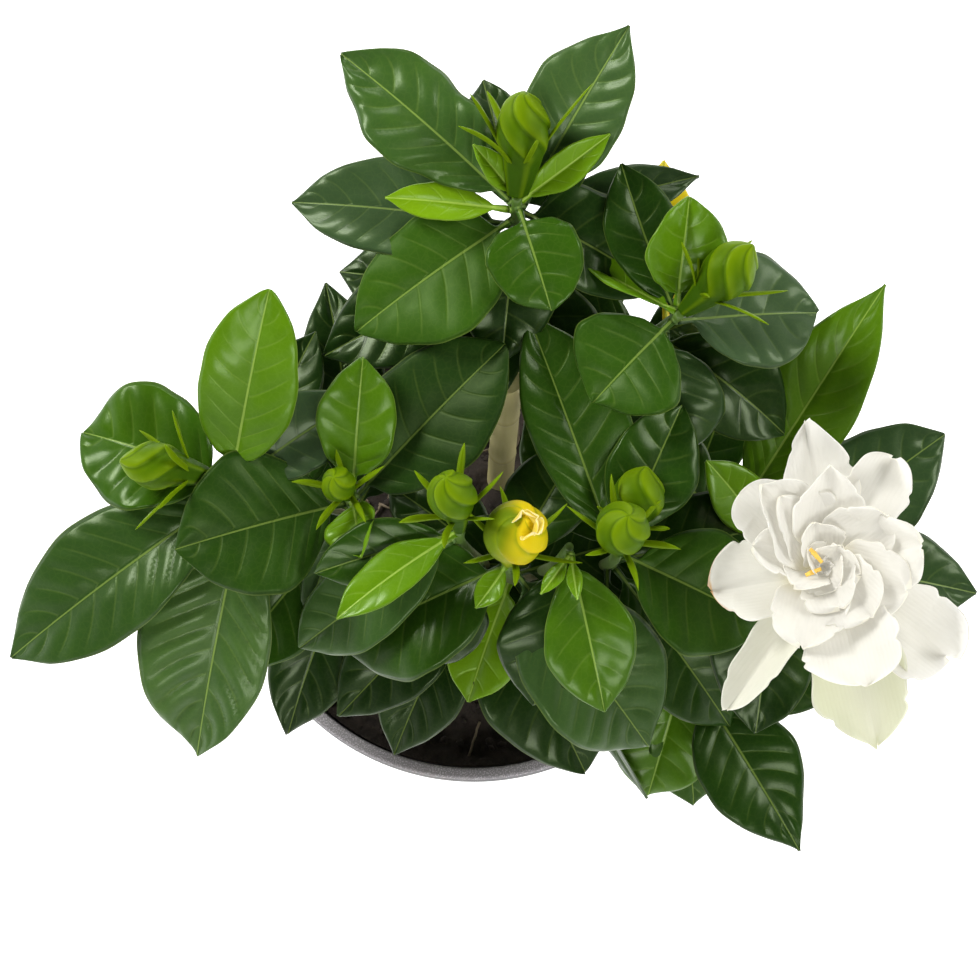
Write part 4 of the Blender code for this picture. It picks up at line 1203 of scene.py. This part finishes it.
def make_stems(material):
    """Each rooted stem: the frame's solid rounded off and given fine bark relief."""
    for node in ("stem_back", "stem_left", "stem_front"):
        built = welded(node)
        mesh = bpy.data.meshes.new(f"{node}_bark")
        built.to_mesh(mesh)
        built.free()
        piece = linked(f"{node}_bark", mesh)
        remesh = piece.modifiers.new("even", "REMESH")
        remesh.mode = "VOXEL"
        remesh.voxel_size = 0.55 * MM
        soften = piece.modifiers.new("soften", "SMOOTH")
        soften.factor = 0.6
        soften.iterations = 8
        coated(fixed(piece), material)
        settle(piece, "stem_bark", node)


def make_cane(material):
    """The bamboo cane: fine fibres, a raised ring at each node and a square-cut end."""
    points = solid_points("bamboo_cane")
    bottom = points[points[:, 2] < points[:, 2].min() + 1.5 * MM].mean(axis=0)
    top = points[points[:, 2] > points[:, 2].max() - 1.5 * MM].mean(axis=0)
    way = unit(top - bottom)
    side, up = frame_along(way)
    length = np.linalg.norm(top - bottom)
    every = CANE_NODE_EVERY
    share = np.linspace(0, 1, 320)
    distance = share * length
    near = np.abs((distance - 0.45 * every + every / 2) % every - every / 2)
    bulge = 0.045 * np.exp(-(near / (0.9 * MM)) ** 2)
    swell = 1 + bulge - 0.02 * np.exp(-((near - 2.2 * MM) / (1.2 * MM)) ** 2)
    angle = full_turn(40)
    groove = 1 - 0.03 * np.exp(-((angle - 2.2) / 0.3) ** 2)
    radius = CANE_RADIUS * swell[:, None] * groove[None, :]
    radius[0] *= 0.94
    radius[-1] *= 0.94
    rings = round_about(bottom + way * distance[:, None, None], side, up, angle[None, :], radius)
    shape = Shape()
    ring = np.exp(-(near / (0.8 * MM)) ** 2)[:, None]
    shape.add(rings, ring_faces(len(share), len(angle)), ring=ring)
    cane = shape.make("bamboo_cane_fine", material)
    cane.data.set_sharp_from_angle(angle=math.radians(50))
    settle(cane, "bamboo", "bamboo_cane")


# ================================================================ pot and root ball

POT_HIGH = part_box("pot")[1]
SOIL_LOW, SOIL_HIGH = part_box("soil")
SOIL_TOP = SOIL_HIGH[2] - 1.5 * MM
DRAIN_HOLES = 8
DRAIN_RADIUS = 4 * MM
DRAIN_RING = 32 * MM


def turned(name, profile, steps, material):
    """Turns a profile of (radius, height) points about the pot's axis."""
    mesh = bpy.data.meshes.new(name)
    edges = [(i, i + 1) for i in range(len(profile) - 1)]
    mesh.from_pydata([(radius, 0, height) for radius, height in profile], edges, [])
    piece = linked(name, mesh)
    screw = piece.modifiers.new("turn", "SCREW")
    screw.steps = screw.render_steps = steps
    screw.use_merge_vertices = True
    screw.merge_threshold = 0.00002
    fine = fixed(piece)
    built = bmesh.new()
    built.from_mesh(fine)
    bmesh.ops.remove_doubles(built, verts=built.verts, dist=0.00001)
    bmesh.ops.recalc_face_normals(built, faces=built.faces)
    built.to_mesh(fine)
    built.free()
    coated(fine, material)
    fine.set_sharp_from_angle(angle=SHARP_FROM)
    return piece


def arc(centre, radius, start, end, count=6):
    """Points of (radius, height) round a corner, between two angles in degrees."""
    return [(centre[0] + radius * math.cos(math.radians(a)), centre[1] + radius * math.sin(math.radians(a)))
            for a in np.linspace(start, end, count)]


def make_pot(material):
    """The nursery pot: rolled rim, tapered wall with moulded steps, ribbed foot and drain holes."""
    rim = POT_HIGH[0]
    top = POT_HIGH[2]
    wall = 1.4 * MM
    foot = 47 * MM
    shoulder = 62.8 * MM
    skirt = 9 * MM
    edge = 3.2 * MM

    def outside(height):
        return foot + (shoulder - foot) * height / (top - skirt)

    corner = 0.9 * MM
    profile = [(0, 1.6 * MM), (23 * MM, 1.6 * MM), (26 * MM, 4.4 * MM)]
    profile += [(38 * MM, 4.4 * MM), (41 * MM, 1.6 * MM)]
    profile += [(outside(0) - wall - 1.5 * MM, 1.6 * MM), (outside(4 * MM) - wall, 4 * MM)]
    profile += [(outside(h) - wall, h) for h in np.linspace(12 * MM, top - skirt - 2 * MM, 10)]
    profile += arc((rim - edge + corner, top - corner), corner, 180, 90)
    profile += arc((rim - corner, top - corner), corner, 90, 0)
    profile += [(rim - 0.1 * MM, top - skirt + 0.8 * MM)]
    profile += arc((rim - 0.9 * MM, top - skirt + 0.6 * MM), 0.6 * MM, 0, -90, 4)
    profile += [(shoulder + 0.4 * MM, top - skirt), (shoulder, top - skirt - 0.5 * MM)]
    for height in np.linspace(top - skirt - 6 * MM, 8 * MM, 14):
        profile.append((outside(height), height))
    profile += arc((outside(0) - 2.2 * MM, 2.4 * MM), 2.4 * MM, 0, -90, 6)
    profile += [(40 * MM, 0), (38.4 * MM, 0.4 * MM), (38 * MM, 3 * MM)]
    profile += [(26 * MM, 3 * MM), (25.4 * MM, 0.4 * MM)]
    profile += [(24.5 * MM, 0), (0, 0)]
    pot = turned("pot_shell", profile, 160, material)
    drill_mesh = bpy.data.meshes.new("drain_drill")
    drill = bmesh.new()
    for i in range(DRAIN_HOLES):
        angle = 2 * math.pi * (i + 0.5) / DRAIN_HOLES
        hole = bmesh.ops.create_cone(drill, cap_ends=True, segments=28, radius1=DRAIN_RADIUS,
                                     radius2=DRAIN_RADIUS, depth=6 * MM)
        middle = (DRAIN_RING * math.cos(angle), DRAIN_RING * math.sin(angle), 3 * MM)
        bmesh.ops.translate(drill, verts=hole["verts"], vec=middle)
    drill.to_mesh(drill_mesh)
    drill.free()
    cutter = linked("drain_drill", drill_mesh)
    cut = pot.modifiers.new("drain", "BOOLEAN")
    cut.operation = "DIFFERENCE"
    cut.object = cutter
    fine = fixed(pot)
    bpy.data.objects.remove(cutter, do_unlink=True)
    fine.set_sharp_from_angle(angle=SHARP_FROM)
    settle(pot, "pot_plastic", "pot")


def make_soil(material):
    """The root ball, its surface broken into clods."""
    radius = SOIL_HIGH[0]
    bottom = SOIL_LOW[2]
    foot = 44 * MM
    rows, around = 46, 180
    rng = np.random.default_rng(11)
    waves = [(rng.uniform(0.15, 1.1), rng.uniform(0, 6.3), rng.uniform(0, 6.3)) for _ in range(26)]
    angle = full_turn(around)
    rings = []
    for share in np.linspace(0.01, 1, rows):
        x = radius * share * np.cos(angle)
        y = radius * share * np.sin(angle)
        lumps = np.zeros(around)
        for rate, heading, phase in waves:
            across = (x * math.cos(heading) + y * math.sin(heading)) / MM
            lumps += np.sin(across * rate + phase) / (0.6 + rate)
        fade = 1.0 if share < 0.97 else 0.0
        crown = 1.1 * MM * (1 - share ** 2)
        rings.append(np.stack([x, y, SOIL_TOP + crown + 0.28 * MM * lumps * fade], axis=1))
    for height, wide in ((SOIL_TOP - 20 * MM, radius - 3 * MM), (bottom, foot)):
        level = np.full(around, height)
        rings.append(np.stack([wide * np.cos(angle), wide * np.sin(angle), level], axis=1))
    shape = Shape()
    shape.add(np.array(rings), ring_faces(len(rings), around))
    soil = shape.make("root_ball", material)
    soil.data.set_sharp_from_angle(angle=math.radians(60))
    settle(soil, "potting_mix", "soil")


def scatter_tree(name, pick, material, seed, flat):
    """A Geometry Nodes tree: bits of one shape, scattered on a face, turned and sized at random."""
    tree = bpy.data.node_groups.new(name, "GeometryNodeTree")
    sockets = tree.interface
    sockets.new_socket("Geometry", in_out="INPUT", socket_type="NodeSocketGeometry")
    for label in ("Density", "Least size", "Most size"):
        sockets.new_socket(label, in_out="INPUT", socket_type="NodeSocketFloat")
    sockets.new_socket("Geometry", in_out="OUTPUT", socket_type="NodeSocketGeometry")

    def node(kind, inputs=None, **settings):
        made = tree.nodes.new(kind)
        for key, value in settings.items():
            setattr(made, key, value)
        for key, value in (inputs or {}).items():
            made.inputs[key].default_value = value
        return made

    entry = node("NodeGroupInput")
    leave = node("NodeGroupOutput")
    spread = node("GeometryNodeDistributePointsOnFaces", {"Seed": seed})
    if pick == "clod":
        bit = node("GeometryNodeMeshIcoSphere", {"Radius": 1.0, "Subdivisions": 1})
    else:
        bit = node("GeometryNodeMeshCylinder",
                   {"Vertices": 7, "Radius": 0.09, "Depth": 2.0, "Side Segments": 5})
    place = node("GeometryNodeInstanceOnPoints")
    least, most = ((-0.25, -0.25, 0.0), (0.25, 0.25, 6.28)) if flat else ((0.0,) * 3, (6.28,) * 3)
    turn = node("FunctionNodeRandomValue", data_type="FLOAT_VECTOR")
    turn.inputs["Min"].default_value = least
    turn.inputs["Max"].default_value = most
    lay = node("GeometryNodeRotateInstances", {"Rotation": (math.pi / 2, 0, 0) if flat else (0, 0, 0)})
    size = node("FunctionNodeRandomValue", data_type="FLOAT_VECTOR")
    low = node("ShaderNodeCombineXYZ")
    high = node("ShaderNodeCombineXYZ")
    realize = node("GeometryNodeRealizeInstances")
    wobble = node("GeometryNodeSetPosition")
    rough = node("ShaderNodeTexNoise", {"Scale": 700.0})
    offset = node("ShaderNodeVectorMath", {1: (0.0011,) * 3, 2: (-0.00055,) * 3}, operation="MULTIPLY_ADD")
    paint = node("GeometryNodeSetMaterial", {"Material": material})
    links = [(entry, "Geometry", spread, "Mesh"), (entry, "Density", spread, "Density"),
             (spread, "Points", place, "Points"), (bit, "Mesh", place, "Instance"),
             (turn, "Value", place, "Rotation")]
    for axis in "XYZ":
        links += [(entry, "Least size", low, axis), (entry, "Most size", high, axis)]
    links += [(low, 0, size, "Min"), (high, 0, size, "Max"), (size, "Value", place, "Scale"),
              (place, "Instances", lay, "Instances"), (lay, "Instances", realize, "Geometry"),
              (realize, "Geometry", wobble, "Geometry"), (rough, "Color", offset, 0),
              (offset, 0, wobble, "Offset"), (wobble, "Geometry", paint, "Geometry"),
              (paint, "Geometry", leave, "Geometry")]
    for source, out, target, into in links:
        tree.links.new(source.outputs[out], target.inputs[into])
    return tree


def scatter(name, pick, density, least, most, material, slot, seed, flat=False):
    """Scatters bits over the root ball's surface and keeps them as one plain mesh."""
    ground = bpy.data.meshes.new(name)
    radius = SOIL_HIGH[0] - 2.5 * MM
    count = 64
    ring = [(radius * math.cos(2 * math.pi * i / count), radius * math.sin(2 * math.pi * i / count),
             SOIL_TOP + 0.7 * MM) for i in range(count)]
    ground.from_pydata(ring, [], [tuple(range(count))])
    piece = linked(name, ground)
    modifier = piece.modifiers.new("scatter", "NODES")
    modifier.node_group = scatter_tree(f"{name}_tree", pick, material, seed, flat)
    wanted = {"Density": density, "Least size": least, "Most size": most}
    for socket in modifier.node_group.interface.items_tree:
        if socket.name in wanted:
            modifier[socket.identifier] = wanted[socket.name]
    fixed(piece).shade_smooth()
    settle(piece, slot)


# ================================================================ studio

CAMERA_RISE = 80                    # degrees above the horizon
CAMERA_AWAY = 1.0                   # metres from the pot's rim
CAMERA_LENS = 134.6                 # mm, on a sensor 36 mm wide


def aim(item, target):
    way = Vector(target) - item.location
    item.rotation_euler = way.to_track_quat("-Z", "Y").to_euler()


def add_light(name, place, target, size, power):
    light = bpy.data.lights.new(name, "AREA")
    light.shape = "RECTANGLE"
    light.size, light.size_y = size
    light.energy = power
    item = linked(name, light)
    item.location = place
    aim(item, target)


def light_sky(tree):
    """A sky that is white round the horizon and dim overhead, so that level leaves stay deep green."""
    place = tree.nodes.new("ShaderNodeTexCoord")
    split = tree.nodes.new("ShaderNodeSeparateXYZ")
    fall = tree.nodes.new("ShaderNodeMapRange")
    fall.inputs["From Min"].default_value = 0.15
    fall.inputs["From Max"].default_value = 0.50
    fall.inputs["To Min"].default_value = 0.90
    fall.inputs["To Max"].default_value = 0.06
    sky = tree.nodes["Background"]
    sky.inputs["Color"].default_value = (1.0, 1.0, 1.0, 1.0)
    tree.links.new(place.outputs["Generated"], split.inputs[0])
    tree.links.new(split.outputs["Z"], fall.inputs["Value"])
    tree.links.new(fall.outputs[0], sky.inputs["Strength"])


def make_studio():
    """A white floor, a bright even sky and two soft boxes, seen from almost straight above."""
    scene = bpy.context.scene
    scene.view_settings.view_transform = "Standard"
    world = bpy.data.worlds.new("studio")
    world.use_nodes = True
    light_sky(world.node_tree)
    scene.world = world
    bpy.ops.mesh.primitive_plane_add(size=6.0)
    floor = bpy.context.object
    floor.name = "studio_floor"
    floor.data.materials.append(floor_material())
    middle = (0.0, 0.0, 0.2)
    add_light("key", (-0.95, 0.60, 1.10), middle, (0.55, 0.45), 21.0)
    add_light("fill", (1.05, 0.25, 1.00), middle, (0.55, 0.55), 11.0)
    add_light("front", (0.10, -1.25, 1.15), middle, (0.9, 0.5), 14.0)
    add_light("back", (0.15, 1.30, 0.85), middle, (0.6, 0.3), 4.0)
    elevation = math.radians(CAMERA_RISE)
    target = Vector((0.0044, 0.0141, POT_HIGH[2]))
    camera = bpy.data.cameras.new("camera")
    camera.sensor_width = 36.0
    camera.lens = CAMERA_LENS
    item = linked("camera", camera)
    item.location = target + Vector((0, -math.cos(elevation), math.sin(elevation))) * CAMERA_AWAY
    aim(item, target)
    scene.camera = item


def main():
    leaf = leaf_material()
    petal = petal_material("petal_cream", (0.53, 0.515, 0.465), (0.50, 0.48, 0.415), (0.52, 0.46, 0.24))
    parting = petal_material("petal_yellow", (0.56, 0.44, 0.06), (0.50, 0.36, 0.02), (0.44, 0.32, 0.01))
    green = bud_material("bud_green", (0.024, 0.066, 0.0005), (0.068, 0.138, 0.0005), (0.165, 0.255, 0.001))
    yellow = bud_material("bud_yellow", (0.20, 0.26, 0.003), (0.56, 0.45, 0.005), (0.70, 0.50, 0.010),
                          flank=(0.11, 0.17, 0.002))
    bark = bark_material()
    peat = soil_material()
    make_studio()
    make_pot(pot_material())
    make_soil(peat)
    scatter("peat_clods", "clod", 42000, 0.0005, 0.0017, peat, "potting_mix", 3)
    scatter("bark_bits", "twig", 14000, 0.0015, 0.0050, bark, "potting_mix", 8, flat=True)
    make_cane(cane_material())
    make_stems(bark)
    apexes = {shoot: measured_bud(f"bud_{shoot}").base for shoot in
              ("back", "side", "left", "mid", "centre", "front", "right")}
    apexes["inner"] = measured_blade("leaf_inner_1").spine[0] + np.array([0, 0, 2.5 * MM])
    apexes["low"] = measured_blade("leaf_low_1").spine[0] + np.array([0, 0, 3 * MM])
    apexes["flower"] = (np.array(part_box("flower_calyx")[0]) + np.array(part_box("flower_calyx")[1])) / 2
    apexes["flower"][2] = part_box("flower_calyx")[0][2]
    stems = {"back": "stem_back", "side": "stem_back", "left": "stem_left", "mid": "stem_left"}
    lines = {shoot: stem_line(stems.get(shoot, "stem_front"), apex) for shoot, apex in apexes.items()}
    make_leaves(leaf)
    make_small_leaves(leaf, lines)
    make_buds(green, yellow, parting)
    make_second_bud(green, lines["right"])
    make_flower_calyx(green)
    make_flower(petal, stamen_material())


main()
